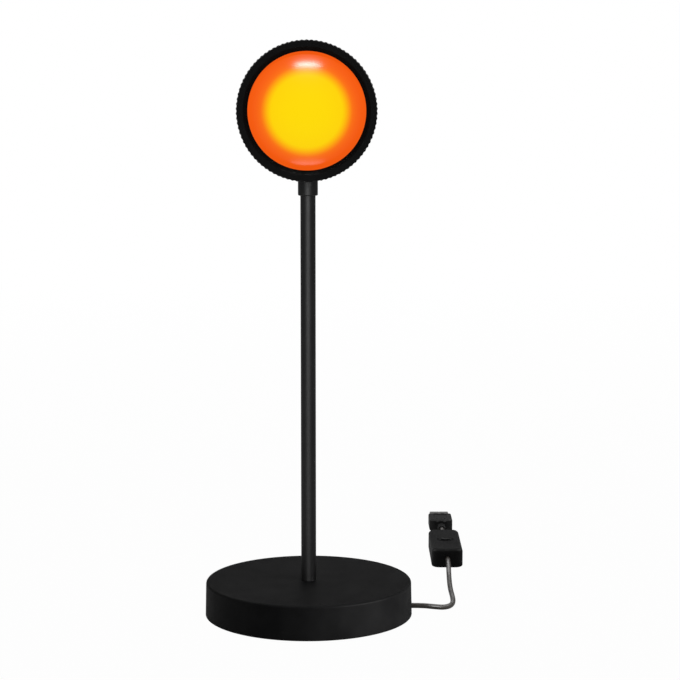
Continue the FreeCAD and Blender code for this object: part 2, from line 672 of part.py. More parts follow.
def make_bottom_plate():
    body = new_body("bottom_plate")
    low, high = size("pad_thickness"), plate_top
    radius = cover_bore - size("plate_gap")
    turn_profile(body, [(0.0, low), (radius, low), (radius, high), (0.0, high)])
    shank = size("base_screw_radius") + size("screw_fit")
    head = size("base_screw_head") + size("screw_fit")
    across = -boss_circle
    sink = turn_beside(body, across, [
        (across, low), (across - head, low), (across - shank, low + size("sink_depth")),
        (across - shank, high), (across, high),
    ], "Groove")
    repeat_round(body, [sink], size("boss_count"))
    notch = new_sketch(body, "XY", high)
    half = size("grommet_flange") + size("plate_gap")
    add_rectangle(notch, radius - size("notch_depth"), -half, size("base_radius"), half)
    pocket(body, notch, size("plate_thickness"))
    for side in (-1, 1):
        hole = new_sketch(body, "XY", high)
        add_circle(hole, size("clamp_screw_radius") + size("screw_fit"), clamp_x,
                   size("clamp_screw_spacing") / 2 * side)
        pocket(body, hole, size("plate_thickness"))


def make_foot_pad():
    body = new_body("foot_pad")
    turn_profile(body, [
        (0.0, 0.0), (pad_radius, 0.0),
        (pad_radius, size("pad_thickness")), (0.0, size("pad_thickness")),
    ])


def make_base_screws():
    """Countersunk screws, flush with the plate's underside."""
    body = new_body("base_screws", (0.0, 0.0, size("pad_thickness")), REAR_TURN)
    across = -boss_circle
    shank = across + size("base_screw_radius")
    screw = turn_beside(body, across, [
        (across, 0.0), (across + size("base_screw_head"), 0.0), (shank, -size("sink_depth")),
        (shank, -size("base_screw_length")), (across, -size("base_screw_length")),
    ])
    repeat_round(body, [screw], size("boss_count"))


def make_cord_entry():
    """The bush in the wall, then the saddle and its screws that hold the lead inside."""
    bush = new_body("cord_grommet", (0.0, 0.0, size("cord_height")), ACROSS_TURN)
    flange_in = cover_bore - size("grommet_flange_thickness")
    seat = cover_bore - size("grommet_seat_gap")
    outside = size("base_radius") - size("grommet_sink")
    turn_profile(bush, [
        (lead_bore, flange_in), (size("grommet_flange"), flange_in),
        (size("grommet_flange"), seat), (size("grommet_radius"), seat),
        (size("grommet_radius"), outside), (lead_bore, outside),
    ])
    clamp = new_body("cord_clamp", (clamp_x, 0.0, 0.0))
    half = size("clamp_width") / 2
    clamp_top = size("cord_height") + size("cord_radius") + size("clamp_wall")
    side = new_sketch(clamp, "YZ")
    add_rectangle(side, -half, plate_top, half, clamp_top)
    pad(clamp, side, size("clamp_length"), both_ways=True)
    tunnel = new_sketch(clamp, "YZ")
    add_circle(tunnel, lead_bore, 0.0, size("cord_height"))
    pocket(clamp, tunnel, size("clamp_length") + OVERRUN, both_ways=True)
    mouth = new_sketch(clamp, "YZ")
    add_rectangle(mouth, -lead_bore, plate_top - OVERRUN, lead_bore, size("cord_height"))
    pocket(clamp, mouth, size("clamp_length") + OVERRUN, both_ways=True)
    screws = new_body("clamp_screws", (clamp_x, 0.0, clamp_top))
    for side in (-1, 1):
        hole = new_sketch(clamp, "XY", clamp_top)
        offset = size("clamp_screw_spacing") / 2 * side
        add_circle(hole, size("clamp_screw_radius") + size("screw_fit"), 0.0, offset)
        pocket(clamp, hole, clamp_top - plate_top)
    offset = size("clamp_screw_spacing") / 2
    head = new_sketch(screws, "XY")
    add_circle(head, size("clamp_screw_head"), 0.0, offset)
    heads = pad(screws, head, size("clamp_screw_head_height"))
    shank = new_sketch(screws, "XY")
    add_circle(shank, size("clamp_screw_radius"), 0.0, offset)
    shanks = pad(screws, shank, clamp_top - size("pad_thickness"), down=True)
    mirror(screws, [heads, shanks], "XZ")


# ---------------------------------------------------------------- pole

def make_pole():
    """A drawn tube with a threaded foot and, near its top, the grub screw's groove."""
    body = new_body("pole_tube")
    foot = (deck_under - size("pole_washer_thickness") - size("pole_nut_thickness")
            - size("spigot_spare"))
    groove_low = collar_low + size("groove_up") - size("groove_width") / 2
    groove_high = groove_low + size("groove_width")
    groove_floor = size("pole_radius") - size("groove_depth")
    top = collar_low + size("pole_insert")
    turn_profile(body, [
        (pole_bore, foot), (spigot_radius, foot),
        (spigot_radius, size("base_height")), (size("pole_radius"), size("base_height")),
        (size("pole_radius"), groove_low), (groove_floor, groove_low),
        (groove_floor, groove_high), (size("pole_radius"), groove_high),
        (size("pole_radius"), top), (pole_bore, top),
    ])
    new_ring("pole_washer", (0.0, 0.0, 0.0), None, size("pole_washer_radius"), spigot_hole,
             deck_under - size("pole_washer_thickness"), deck_under)
    nut_top = deck_under - size("pole_washer_thickness")
    nut = new_body("pole_nut", (0.0, 0.0, nut_top))
    flats = new_sketch(nut, "XY")
    add_polygon(flats, size("pole_nut_radius"))
    add_circle(flats, spigot_hole)
    pad(nut, flats, size("pole_nut_thickness"), down=True)


# ---------------------------------------------------------------- swivel and tilt knuckle

def make_swivel_collar():
    """A turned collar that turns on the pole; its upper end is milled to a fork."""
    body = new_body("swivel_collar", PIVOT)
    low = -size("collar_rise")
    bore = size("pole_radius") + size("swivel_fit")
    bore_top = low + size("pole_insert") + size("pole_end_gap")
    wires = size("wire_way")
    ear = size("ear_radius")
    turn_profile(body, [
        (bore, low), (collar_radius - size("collar_edge"), low),
        (collar_radius, low + size("collar_edge")), (collar_radius, ear),
        (wires, ear), (wires, bore_top), (bore, bore_top),
    ])
    over = ear + OVERRUN
    wide = collar_radius + OVERRUN
    sides = new_sketch(body, "YZ")
    add_outline(sides, [
        (-wide, -ear), (-wide, over), (wide, over), (wide, -ear), (ear, -ear),
        (ear, ear, size("ear_round")), (-ear, ear, size("ear_round")), (-ear, -ear),
    ])
    pocket(body, sides, wide * 2, both_ways=True)
    slot = new_sketch(body, "XZ")
    half = size("fork_slot") / 2
    add_rectangle(slot, -half, -ear - size("slot_gap"), half, over)
    pocket(body, slot, wide * 2, both_ways=True)
    pin = new_sketch(body, "YZ")
    add_circle(pin, size("pin_radius") + size("pin_fit"))
    pocket(body, pin, wide * 2, both_ways=True)
    seat = new_sketch(body, "YZ", size("ear_face"))
    add_circle(seat, size("tilt_nut_radius") + size("recess_gap"))
    seats = pocket(body, seat, wide, along_normal=True)
    mirror(body, [seats], "YZ")
    thread = new_sketch(body, "XZ")
    add_circle(thread, size("grub_radius") + size("screw_fit"), 0.0, low + size("groove_up"))
    pocket(body, thread, wide)


def make_knuckle_fasteners():
    """The grub screw in the pole's groove, the tilt screw with its nut, and two washers."""
    low = -size("collar_rise")
    groove_floor = size("pole_radius") - size("groove_depth")
    grub_at = (0.0, 0.0, tilt_axis + low + size("groove_up"))
    grub = new_body("swivel_grub_screw", grub_at, HEAD_TURN)
    tip = size("groove_width") / 2 - size("grub_tip_gap")
    tip_end = groove_floor + size("grub_floor_gap")
    neck = size("pole_radius") + size("swivel_fit") + size("grub_neck_gap")
    outside = collar_radius - size("grub_sink")
    turn_profile(grub, [
        (0.0, tip_end), (tip, tip_end), (tip, neck), (size("grub_radius"), neck),
        (size("grub_radius"), outside), (0.0, outside),
    ])
    socket = new_sketch(grub, "XY", outside)
    add_polygon(socket, size("grub_socket"))
    pocket(grub, socket, size("grub_socket_depth"))
    nut_end = size("ear_face") + size("tilt_nut_height")
    top = size("ear_face") + size("tilt_head_height")
    screw = new_body("tilt_screw", PIVOT, ACROSS_TURN)
    turn_profile(screw, [
        (0.0, -nut_end), (size("pin_radius"), -nut_end), (size("pin_radius"), size("ear_face")),
        (size("tilt_head_radius"), size("ear_face")), (size("tilt_head_radius"), top), (0.0, top),
    ])
    socket = new_sketch(screw, "XY", top)
    add_polygon(socket, size("tilt_socket"))
    pocket(screw, socket, size("tilt_socket_depth"))
    new_ring("tilt_nut", PIVOT, ACROSS_TURN, size("tilt_nut_radius"),
             size("pin_radius") + size("pin_fit"), -nut_end, -size("ear_face"))
    inner = size("tongue_thickness") / 2 + size("tilt_fit")
    washers = new_body("friction_washers", PIVOT, ACROSS_TURN)
    bore = size("pin_radius") + size("pin_fit")
    edge = size("ear_radius") - size("washer_inset")
    outer = size("fork_slot") / 2
    ring = turn_profile(washers, [(bore, inner), (edge, inner), (edge, outer), (bore, outer)])
    mirror(washers, [ring], "XY")


def make_tilt_tongue():
    """The blade between the ears, with a hollow stud through the shell's flat."""
    body = new_body("tilt_tongue", PIVOT)
    ear = size("ear_radius")
    blade = new_sketch(body, "YZ")
    add_outline(blade, [
        (-ear, flat_up), (-ear, -ear, size("ear_round")), (ear, -ear, size("ear_round")),
        (ear, flat_up),
    ])
    pad(body, blade, size("tongue_thickness"), both_ways=True)
    stud_length = tongue_nut_low - flat_up + size("tongue_nut_thickness")
    stud_length = stud_length + size("tongue_stud_spare")
    stud = new_sketch(body, "XY", flat_up)
    add_circle(stud, size("tongue_spigot"))
    pad(body, stud, stud_length)
    pin = new_sketch(body, "YZ")
    add_circle(pin, size("pin_radius") + size("pin_fit"))
    pocket(body, pin, size("tongue_thickness") * 2, both_ways=True)
    way = new_sketch(body, "XY", 0.0)
    add_circle(way, size("wire_bore"))
    pocket(body, way, flat_up + stud_length, along_normal=True)
    nut = new_body("tongue_nut", (0.0, 0.0, tilt_axis + tongue_nut_low))
    flats = new_sketch(nut, "XY")
    add_polygon(flats, size("tongue_nut_radius"))
    add_circle(flats, size("tongue_spigot") + size("screw_fit"))
    pad(nut, flats, size("tongue_nut_thickness"))


# ---------------------------------------------------------------- head

def make_head_shell():
    """A turned tube: thread in front, cone, plain barrel with a flat and three lugs."""
    body = new_body("head_shell", HEAD, HEAD_TURN)
    thread, barrel = thread_radius, size("shell_radius")
    cone_end = size("ring_length") + size("shell_shoulder")
    turn_profile(body, [
        (thread - size("shell_wall"), size("shell_start")), (thread, size("shell_start")),
        (thread, size("ring_length")), (barrel, cone_end), (barrel, shell_length),
        (shell_bore, shell_length), (shell_bore, cone_end),
        (thread - size("shell_wall"), size("ring_length") - size("thread_relief")),
    ])
    up = -lug_circle
    lug = new_sketch(body, "XY", lug_rear)
    add_circle(lug, size("lug_radius"), 0.0, up)
    lugs = pad(body, lug, size("lug_length"), down=True)
    pilot = new_sketch(body, "XY", lug_rear)
    add_circle(pilot, size("rear_screw_radius") + size("screw_fit"), 0.0, up)
    pilots = pocket(body, pilot, size("rear_screw_bite") + size("pilot_spare"))
    repeat_round(body, [lugs, pilots], size("lug_count"))
    flat = new_sketch(body, "XZ", size("flat_depth") - barrel)
    add_rectangle(flat, -barrel / 2, size("head_front") - size("flat_reach"),
                  barrel / 2, size("head_front") + size("flat_reach"))
    pocket(body, flat, size("flat_depth") + OVERRUN)
    room = size("nut_seat_height")
    hole = new_sketch(body, "XZ", room - shell_bore)
    add_circle(hole, size("tongue_spigot") + size("screw_fit"), 0.0, size("head_front"))
    pocket(body, hole, room + size("shell_wall") + OVERRUN)
    seat = new_sketch(body, "XZ", room - shell_bore)
    add_circle(seat, size("tongue_nut_radius") + size("nut_seat_gap"), 0.0, size("head_front"))
    pocket(body, seat, room)


def make_heat_sink():
    """A turned aluminium plug with cooling grooves, which carries the light source."""
    body = new_body("heat_sink", HEAD, HEAD_TURN)
    barrel = size("shell_radius")
    joint = shell_length
    spigot = shell_bore - size("sink_spigot_gap")
    bevel = size("sink_edge")
    turn_profile(body, [
        (0.0, pedestal_front), (size("pedestal_radius"), pedestal_front),
        (size("pedestal_radius"), lug_rear), (spigot, lug_rear), (spigot, joint),
        (barrel, joint), (barrel, sink_rear - bevel), (barrel - bevel, sink_rear), (0.0, sink_rear),
    ])
    first = joint + size("fin_thickness")
    floor = barrel - size("fin_depth")
    grooves = new_sketch(body, "XZ")
    add_rectangle(grooves, floor, first, barrel + OVERRUN, first + size("fin_gap"))
    groove = turn_sketch(body, grooves, "Groove")
    pitch = size("fin_thickness") + size("fin_gap")
    repeat_in_line(body, [groove], "Z", pitch * (size("fin_gaps") - 1), size("fin_gaps"))
    up = -lug_circle
    hole = new_sketch(body, "XY", sink_rear)
    add_circle(hole, size("rear_screw_radius") + size("recess_gap"), 0.0, up)
    holes = pocket(body, hole, sink_rear - lug_rear)
    recess = new_sketch(body, "XY", sink_rear)
    add_circle(recess, size("rear_screw_head") + size("recess_gap"), 0.0, up)
    recesses = pocket(body, recess, size("rear_screw_depth"))
    repeat_round(body, [holes, recesses], size("lug_count"))
    for side in (-1, 1):
        pilot = new_sketch(body, "XY", pedestal_front)
        add_circle(pilot, size("board_screw_radius") + size("screw_fit"),
                   board_screw_circle * side)
        pocket(body, pilot, size("board_screw_bite") + size("board_pilot_spare"),
               along_normal=True)
    head_seat = sink_rear - size("rear_screw_depth")
    screws = new_body("rear_screws", HEAD, HEAD_TURN)
    shank = new_sketch(screws, "XY", head_seat)
    add_circle(shank, size("rear_screw_radius"), 0.0, up)
    shanks = pad(screws, shank, head_seat - lug_rear + size("rear_screw_bite"), down=True)
    head = new_sketch(screws, "XY", head_seat)
    add_circle(head, size("rear_screw_head"), 0.0, up)
    heads = pad(screws, head, size("rear_screw_head_height"))
    socket = new_sketch(screws, "XY", head_seat + size("rear_screw_head_height"))
    add_circle(socket, size("rear_screw_radius"), 0.0, up)
    sockets = pocket(screws, socket, size("rear_screw_head_height") / 2)
    repeat_round(screws, [shanks, heads, sockets], size("lug_count"))


def make_light_source():
    """The round board, its two screws, the light source, and the cup with its filter."""
    board = new_body("led_board", HEAD, HEAD_TURN)
    turn_profile(board, [
        (0.0, board_front), (board_radius, board_front),
        (board_radius, pedestal_front), (0.0, pedestal_front),
    ])
    screws = new_body("board_screws", HEAD, HEAD_TURN)
    across = board_screw_circle
    for side in (-1, 1):
        hole = new_sketch(board, "XY", pedestal_front)
        add_circle(hole, size("board_screw_radius") + size("screw_fit"), across * side)
        pocket(board, hole, size("board_thickness"))
    shank = new_sketch(screws, "XY", board_front)
    add_circle(shank, size("board_screw_radius"), across)
    shanks = pad(screws, shank, size("board_thickness") + size("board_screw_bite"))
    head = new_sketch(screws, "XY", board_front)
    add_circle(head, size("board_screw_head"), across)
    heads = pad(screws, head, size("board_screw_head_height"), down=True)
    mirror(screws, [shanks, heads], "YZ")
    chip = new_body("led_chip", HEAD, HEAD_TURN)
    square = new_sketch(chip, "XY", board_front)
    half = size("chip_side") / 2
    add_rectangle(square, -half, -half, half, half)
    pad(chip, square, size("chip_thickness"), down=True)
    cup = new_body("light_cup", HEAD, HEAD_TURN)
    throat, wall = size("cup_throat"), size("cup_wall")
    mouth = size("filter_radius") - size("filter_ledge")
    front = board_front - size("cup_length")
    seat = size("filter_radius") + size("filter_fit")
    turn_profile(cup, [
        (throat, board_front), (mouth, front + size("cup_seat")), (seat, front + size("cup_seat")),
        (seat, front), (seat + wall, front), (seat + wall, front + size("cup_seat") + wall),
        (throat + wall, board_front),
    ])
    disc = new_body("colour_filter", HEAD, HEAD_TURN)
    rear = front + size("cup_seat")
    turn_profile(disc, [
        (0.0, rear - size("filter_thickness")),
        (size("filter_radius"), rear - size("filter_thickness")),
        (size("filter_radius"), rear), (0.0, rear),
    ])


def make_lens():
    """A glass dome on a flat-backed rim, with a silicone ring behind it."""
    body = new_body("front_lens", HEAD, HEAD_TURN)
    dome, rise = lens_dome, size("lens_rise")
    sketch = new_sketch(body, "XZ")
    apex = Vector(0, (lens_front - rise).value, 0)
    foot = Vector(dome.value, lens_front.value, 0)
    bend = (dome.value ** 2 + rise.value ** 2) / (2 * rise.value)
    turn = math.atan2(dome.value, bend - rise.value)
    middle = Vector(bend * math.sin(turn / 2), apex.y + bend * (1 - math.cos(turn / 2)), 0)
    rim_front = Vector(lens_edge.value, lens_front.value, 0)
    rim_rear = Vector(lens_edge.value, lens_rear.value, 0)
    back = Vector(0, lens_rear.value, 0)
    arc = sketch.addGeometry(Part.Arc(apex, middle, foot), False)
    starts = (sketch.Geometry[arc].StartPoint - apex).Length < 1e-6
    first, last = (1, 2) if starts else (2, 1)
    step = sketch.addGeometry(Part.LineSegment(foot, rim_front), False)
    edge = sketch.addGeometry(Part.LineSegment(rim_front, rim_rear), False)
    rear = sketch.addGeometry(Part.LineSegment(rim_rear, back), False)
    middle_line = sketch.addGeometry(Part.LineSegment(back, apex), False)
    for link in ((arc, last, step, 1), (step, 2, edge, 1), (edge, 2, rear, 1),
                 (rear, 2, middle_line, 1), (middle_line, 2, arc, first)):
        sketch.addConstraint(Sketcher.Constraint("Coincident", *link))
    pin_point(sketch, middle_line, 2, 0.0, lens_front - rise)
    pin_point(sketch, step, 1, dome, lens_front)
    pin_point(sketch, edge, 1, lens_edge, lens_front)
    pin_point(sketch, rear, 1, lens_edge, lens_rear)
    pin_point(sketch, middle_line, 1, 0.0, lens_rear)
    sketch.addConstraint(Sketcher.Constraint("PointOnObject", arc, 3, -2))
    turn_sketch(body, sketch)
    new_ring("lens_gasket", HEAD, HEAD_TURN, lens_edge, lens_edge - size("gasket_width"),
             lens_rear, gasket_rear)


def make_lens_ring():
    """A turned ring with straight ribs all round, and the threaded keeper behind the lens."""
    body = new_body("bezel_ring", HEAD, HEAD_TURN)
    outer, edge, length = size("ring_radius"), size("ring_edge"), size("ring_length")
    thread = thread_radius + size("thread_fit")
    turn_profile(body, [
        (ring_mouth, 0.0), (outer - edge, 0.0), (outer, edge), (outer, length - edge),
        (outer - edge, length), (thread, length), (thread, size("ring_bore_end")),
        (ring_bore, size("ring_bore_end")), (ring_bore, size("ring_lip")),
        (ring_opening, size("ring_lip")), (ring_opening, size("ring_slope")),
    ])
    hollow = new_sketch(body, "XY", -OVERRUN)
    add_circle(hollow, size("rib_cutter"), outer + size("rib_cutter") - size("rib_depth"))
    hollows = pocket(body, hollow, length + 2 * OVERRUN, along_normal=True)
    repeat_round(body, [hollows], size("rib_count"))
    keeper_rear = gasket_rear + size("lens_gap") + size("keeper_thickness")
    keeper = new_ring("lens_keeper", HEAD, HEAD_TURN, ring_bore - size("keeper_fit"),
                      ring_bore - size("keeper_width"),
                      keeper_rear - size("keeper_thickness"), keeper_rear)
    notch = new_sketch(keeper, "XY", keeper_rear)
    half = size("keeper_notch_width") / 2
    add_rectangle(notch, -size("ring_radius"), -half, size("ring_radius"), half)
    pocket(keeper, notch, size("keeper_notch_depth"))


# ---------------------------------------------------------------- switch

def shell_outline(sketch, inset):
    """The switch's plan: a rectangle with rounded corners, drawn in by the inset."""
    wide = size("switch_half_width") - inset
    long = size("switch_half_length") - inset
    add_rectangle(sketch, -wide, -long, wide, long, size("switch_corner") - inset)


def make_switch_shell(label, low, high, edge, hollow_up):
    """One half of the case: a rounded block, hollowed from the parting line."""
    body = new_body(label, SWITCH)
    plan = new_sketch(body, "XY", low)
    shell_outline(plan, 0.0)
    body.Tip = pad(body, plan, high - low)
    soften(body, edge, lies_at(high if hollow_up else low))
    wall = size("switch_wall")
    inside = new_sketch(body, "XY", low if hollow_up else high)
    shell_outline(inside, wall)
    pocket(body, inside, high - low - wall, along_normal=hollow_up)
    post = new_sketch(body, "XY", low + wall if not hollow_up else low)
    long = case_screw_y
    for side in (-1, 1):
        add_circle(post, size("case_post"), 0.0, long * side)
    pad(body, post, high - low - wall)
    bore = new_sketch(body, "XZ")
    add_circle(bore, lead_bore, 0.0, size("switch_split"))
    pocket(body, bore, (size("switch_half_length") + OVERRUN) * 2, both_ways=True)
    return body


def make_switch():
    height, split = size("switch_height"), size("switch_split")
    wall = size("switch_wall")
    top = make_switch_shell("switch_top_shell", split, height, size("switch_edge"), True)
    lip = button_hole + size("lip_width")
    dish = new_sketch(top, "XY", height)
    add_circle(dish, lip + size("dish_width"))
    add_circle(dish, lip)
    pocket(top, dish, size("dish_depth"))
    hole = new_sketch(top, "XY", height)
    add_circle(hole, button_hole)
    pocket(top, hole, wall + OVERRUN)
    sole = make_switch_shell("switch_bottom_shell", as_length(0.0), split,
                             size("switch_sole_edge"), False)
    for side in (-1, 1):
        at = case_screw_y * side
        pilot = new_sketch(top, "XY", split)
        add_circle(pilot, size("case_screw_radius") + size("screw_fit"), 0.0, at)
        pocket(top, pilot, height - split - wall, along_normal=True)
        clear = new_sketch(sole, "XY", 0.0)
        add_circle(clear, size("case_screw_radius") + size("case_screw_gap"), 0.0, at)
        pocket(sole, clear, split, along_normal=True)
        recess = new_sketch(sole, "XY", 0.0)
        add_circle(recess, size("case_screw_head") + size("recess_gap"), 0.0, at)
        pocket(sole, recess, size("case_screw_depth"), along_normal=True)
    screws = new_body("switch_screws", SWITCH)
    shank = new_sketch(screws, "XY", size("case_screw_depth"))
    add_circle(shank, size("case_screw_radius"), 0.0, case_screw_y)
    shank_top = height - wall - size("case_screw_spare")
    shanks = pad(screws, shank, shank_top - size("case_screw_depth"))
    head = new_sketch(screws, "XY", size("case_screw_depth"))
    add_circle(head, size("case_screw_head"), 0.0, case_screw_y)
    heads = pad(screws, head, size("case_screw_head_height"), down=True)
    mirror(screws, [shanks, heads], "XZ")


def make_button():
    """The press button with its flange and stem, its spring, and the latching block."""
    body = new_body("switch_button", SWITCH)
    flange_top = size("switch_height") - size("switch_wall") - size("button_play")
    flange_low = flange_top - size("button_flange_thickness")
    top = size("switch_height") + size("button_proud")
    stem_low = size("latch_top") - size("stem_dip")
    flange = size("button_radius") + size("button_flange_width")
    turn_profile(body, [
        (0.0, stem_low), (size("button_stem"), stem_low), (size("button_stem"), flange_low),
        (flange, flange_low), (flange, flange_top),
        (size("button_radius"), flange_top), (size("button_radius"), top, size("button_edge")),
        (0.0, top),
    ])
    block = new_body("latch_block", SWITCH)
    plan = new_sketch(block, "XY", size("switch_wall"))
    half = size("latch_half_side")
    add_rectangle(plan, -half, -half, half, half, size("latch_corner"))
    pad(block, plan, size("latch_top") - size("switch_wall"))
    well = new_sketch(block, "XY", size("latch_top"))
    add_circle(well, size("latch_well"))
    pocket(block, well, size("latch_top") - size("switch_wall") - size("latch_floor"))
    spring = new_body("button_spring", SWITCH)
    wire = new_sketch(spring, "XZ")
    low = size("latch_top") + size("spring_wire")
    add_circle(wire, size("spring_wire"), size("spring_radius"), low)
    coil = spring.newObject("PartDesign::AdditiveHelix", "button_spring_coil")
    coil.Profile = wire
    coil.ReferenceAxis = (wire, ["V_Axis"])
    coil.Mode = "height-turns-angle"
    bind(coil, "Height", flange_low - low - size("spring_wire"))
    bind(coil, "Turns", size("spring_turns"))


# ---------------------------------------------------------------- plug

def make_plug():
    """The moulded grip with its stepped tail, the folded shell, the carrier and contacts."""
    grip_rear = size("tail_length") + size("neck_length") + size("shoulder_length")
    grip_front = grip_rear + size("grip_length")
    tip = grip_front + size("plug_length")
    wide, high = size("grip_half_width"), size("grip_half_height")
    neck_end = grip_rear - size("shoulder_length")
    grip = new_body("plug_overmould", PLUG)
    plan = new_sketch(grip, "XY", -high)
    add_outline(plan, [
        (-size("neck_radius"), neck_end), (size("neck_radius"), neck_end),
        (wide, grip_rear, size("grip_edge")), (wide, grip_front, size("grip_edge")),
        (-wide, grip_front, size("grip_edge")), (-wide, grip_rear, size("grip_edge")),
    ])
    grip.Tip = pad(grip, plan, high * 2)
    grip.Tip = soften(grip, size("grip_edge"), lies_at(high))
    soften(grip, size("grip_edge"), lies_at(-high))
    stem = new_sketch(grip, "XY")
    overlap = neck_end + size("shoulder_length") / 2
    add_outline(stem, [
        (0.0, 0.0), (size("tail_start_radius"), 0.0),
        (size("tail_end_radius"), size("tail_length")), (size("neck_radius"), size("tail_length")),
        (size("neck_radius"), overlap), (0.0, overlap),
    ])
    turn_sketch(grip, stem)
    panel = new_sketch(grip, "XY", high)
    panel_front = grip_front - size("panel_inset")
    panel_rear = panel_front - size("panel_length")
    half = size("panel_half_width")
    add_rectangle(panel, -half, panel_rear, half, panel_front, size("panel_corner"))
    pocket(grip, panel, size("panel_depth"))
    dimples = new_sketch(grip, "XY", high)
    for side in (-1, 1):
        add_circle(dimples, size("dimple_radius"), size("dimple_spacing") / 2 * side,
                   panel_rear - size("dimple_gap"))
    pocket(grip, dimples, size("panel_depth"))
    bore = new_sketch(grip, "XZ", -size("tail_socket"))
    add_circle(bore, lead_bore)
    pocket(grip, bore, size("tail_socket") + OVERRUN, along_normal=True)
    slip = size("plug_fit")
    root = grip_front - size("plug_root")
    socket = new_sketch(grip, "XZ", -grip_front)
    half_w, half_h = size("plug_half_width") + slip, size("plug_half_height") + slip
    add_rectangle(socket, -half_w, -half_h, half_w, half_h, size("plug_corner") + slip)
    pocket(grip, socket, size("plug_root") + slip, along_normal=True)

    shell = new_body("plug_shell", PLUG)
    section = new_sketch(shell, "XZ", -root)
    half_w, half_h = size("plug_half_width"), size("plug_half_height")
    wall = size("plug_wall")
    add_rectangle(section, -half_w, -half_h, half_w, half_h, size("plug_corner"))
    add_rectangle(section, wall - half_w, wall - half_h, half_w - wall, half_h - wall,
                  size("plug_corner") - wall)
    pad(shell, section, tip - root, down=True)
    windows = new_sketch(shell, "XY")
    middle = tip - size("window_from_tip") - size("window_length") / 2
    for side in (-1, 1):
        at = size("window_spacing") / 2 * side
        reach, deep = size("window_width") / 2, size("window_length") / 2
        add_rectangle(windows, at - reach, middle - deep, at + reach, middle + deep)
    pocket(shell, windows, high * 2, both_ways=True)
    cut_seam(shell, root, tip)

    base = new_body("plug_carrier", PLUG)
    slack = wall + slip
    block = new_sketch(base, "XZ", -root)
    add_rectangle(block, slack - half_w, slack - half_h, half_w - slack, half_h - slack,
                  size("plug_corner") - wall)
    pad(base, block, size("plug_root"), down=True)
    blade = new_sketch(base, "XZ", -root)
    blade_low = half_h - slack - size("tongue_height")
    add_rectangle(blade, slack - half_w, blade_low, half_w - slack, half_h - slack,
                  size("plug_corner") - wall)
    pad(base, blade, tip - root - size("tongue_setback"), down=True)

    strips = new_body("plug_contacts", PLUG)
    contacts = new_sketch(strips, "XY", blade_low)
    reach = size("contact_width") / 2
    strip_front = tip - size("tongue_setback") - size("contact_setback")
    for place in (-1.5, -0.5, 0.5, 1.5):
        at = size("contact_pitch") * place
        add_rectangle(contacts, at - reach, strip_front - size("contact_length"),
                      at + reach, strip_front)
    pad(strips, contacts, size("contact_thickness"), down=True)


def cut_seam(shell, root, tip):
    """The dovetailed joint of the folded sheet: a narrow slit that steps from side to side."""
    half = size("seam_width") / 2
    step = size("seam_tooth")
    visible = size("plug_length")
    rear = root + size("plug_root")
    stations = [
        (0.0, 0), (0.14, 0), (0.20, 1), (0.34, 1), (0.40, -1), (0.54, -1), (0.60, 1),
        (0.74, 1), (0.80, 0), (1.1, 0),
    ]
    sketch = new_sketch(shell, "XY")
    path = [(step * side, rear + visible * part) for part, side in stations]
    left = [(across - half, along) for across, along in path]
    right = [(across + half, along) for across, along in reversed(path)]
    add_outline(sketch, left + right)
    pocket(shell, sketch, size("plug_half_height") * 2, along_normal=True)


# ---------------------------------------------------------------- leads

def make_lead(label, points, radius):
    """A tube along straight runs joined by tangent arcs, as large as the runs allow."""
    spots = [Vector(*point) for point in points]
    edges, start, radii = [], spots[0], []
    for before, spot, after in zip(spots, spots[1:], spots[2:]):
        back, ahead = before - spot, after - spot
        half = (math.pi - back.getAngle(ahead)) / 2
        reach = BEND_SHARE * min(back.Length, ahead.Length)
        bend = reach / math.tan(half)
        back.normalize()
        ahead.normalize()
        entry, leave = spot + back * reach, spot + ahead * reach
        centre = spot + (back + ahead).normalize() * (bend / math.cos(half))
        middle = centre + (spot - centre).normalize() * bend
        edges.append(Part.LineSegment(start, entry).toShape())
        edges.append(Part.Arc(entry, middle, leave).toShape())
        radii.append(round(bend, 1))
        start = leave
    edges.append(Part.LineSegment(start, spots[-1]).toShape())
    path = Part.Wire(edges)
    ring = Part.Circle(spots[0], spots[1] - spots[0], radius).toShape()
    tube = path.makePipeShell([Part.Wire([ring])], True, False)
    section = math.pi * radius ** 2
    print("%s: length %.1f, radii %s, volume ratio %.4f"
          % (label, path.Length, radii, tube.Volume / (section * path.Length)))
    feature = document.addObject("Part::Feature", label)
    feature.Label = label
    feature.Shape = tube
    sub_parts.append(feature)


def make_leads():
    radius = size("cord_radius").value
    make_lead("cord_lower", LOWER_ROUTE, radius)
    make_lead("cord_upper", UPPER_ROUTE, radius)
    low = size("cord_height").value
    start = (size("base_radius") - size("grommet_sink")).value
    turn = size("lead_turn").value
    top = (collar_low + size("pole_insert") - size("lead_end_gap")).value
    make_lead("inner_lead", [
        (start, 0.0, low), (turn, 0.0, low), (0.0, 0.0, low + turn), (0.0, 0.0, top),
    ], radius)
    stud_top = (head_axis - shell_bore + size("head_lead_start")).value
    board_side = (head_axis - board_radius - size("head_lead_gap")).value
    board_back = (board_front - size("head_front") + size("head_lead_landing")).value
    rising = [(across, back, stud_top + up) for across, back, up in HEAD_ROUTE]
    make_lead("head_lead", rising + [(0.0, board_back, board_side)],
              size("head_lead_radius").value)


# ---------------------------------------------------------------- document

def make_all():
    make_base_cover()
    make_ballast()
    make_bottom_plate()
    make_foot_pad()
    make_base_screws()
    make_cord_entry()
    make_pole()
    make_swivel_collar()
    make_knuckle_fasteners()
    make_tilt_tongue()
    make_head_shell()
    make_heat_sink()
    make_light_source()
    make_lens()
    make_lens_ring()
    make_switch()
    make_button()
    make_plug()
    make_leads()


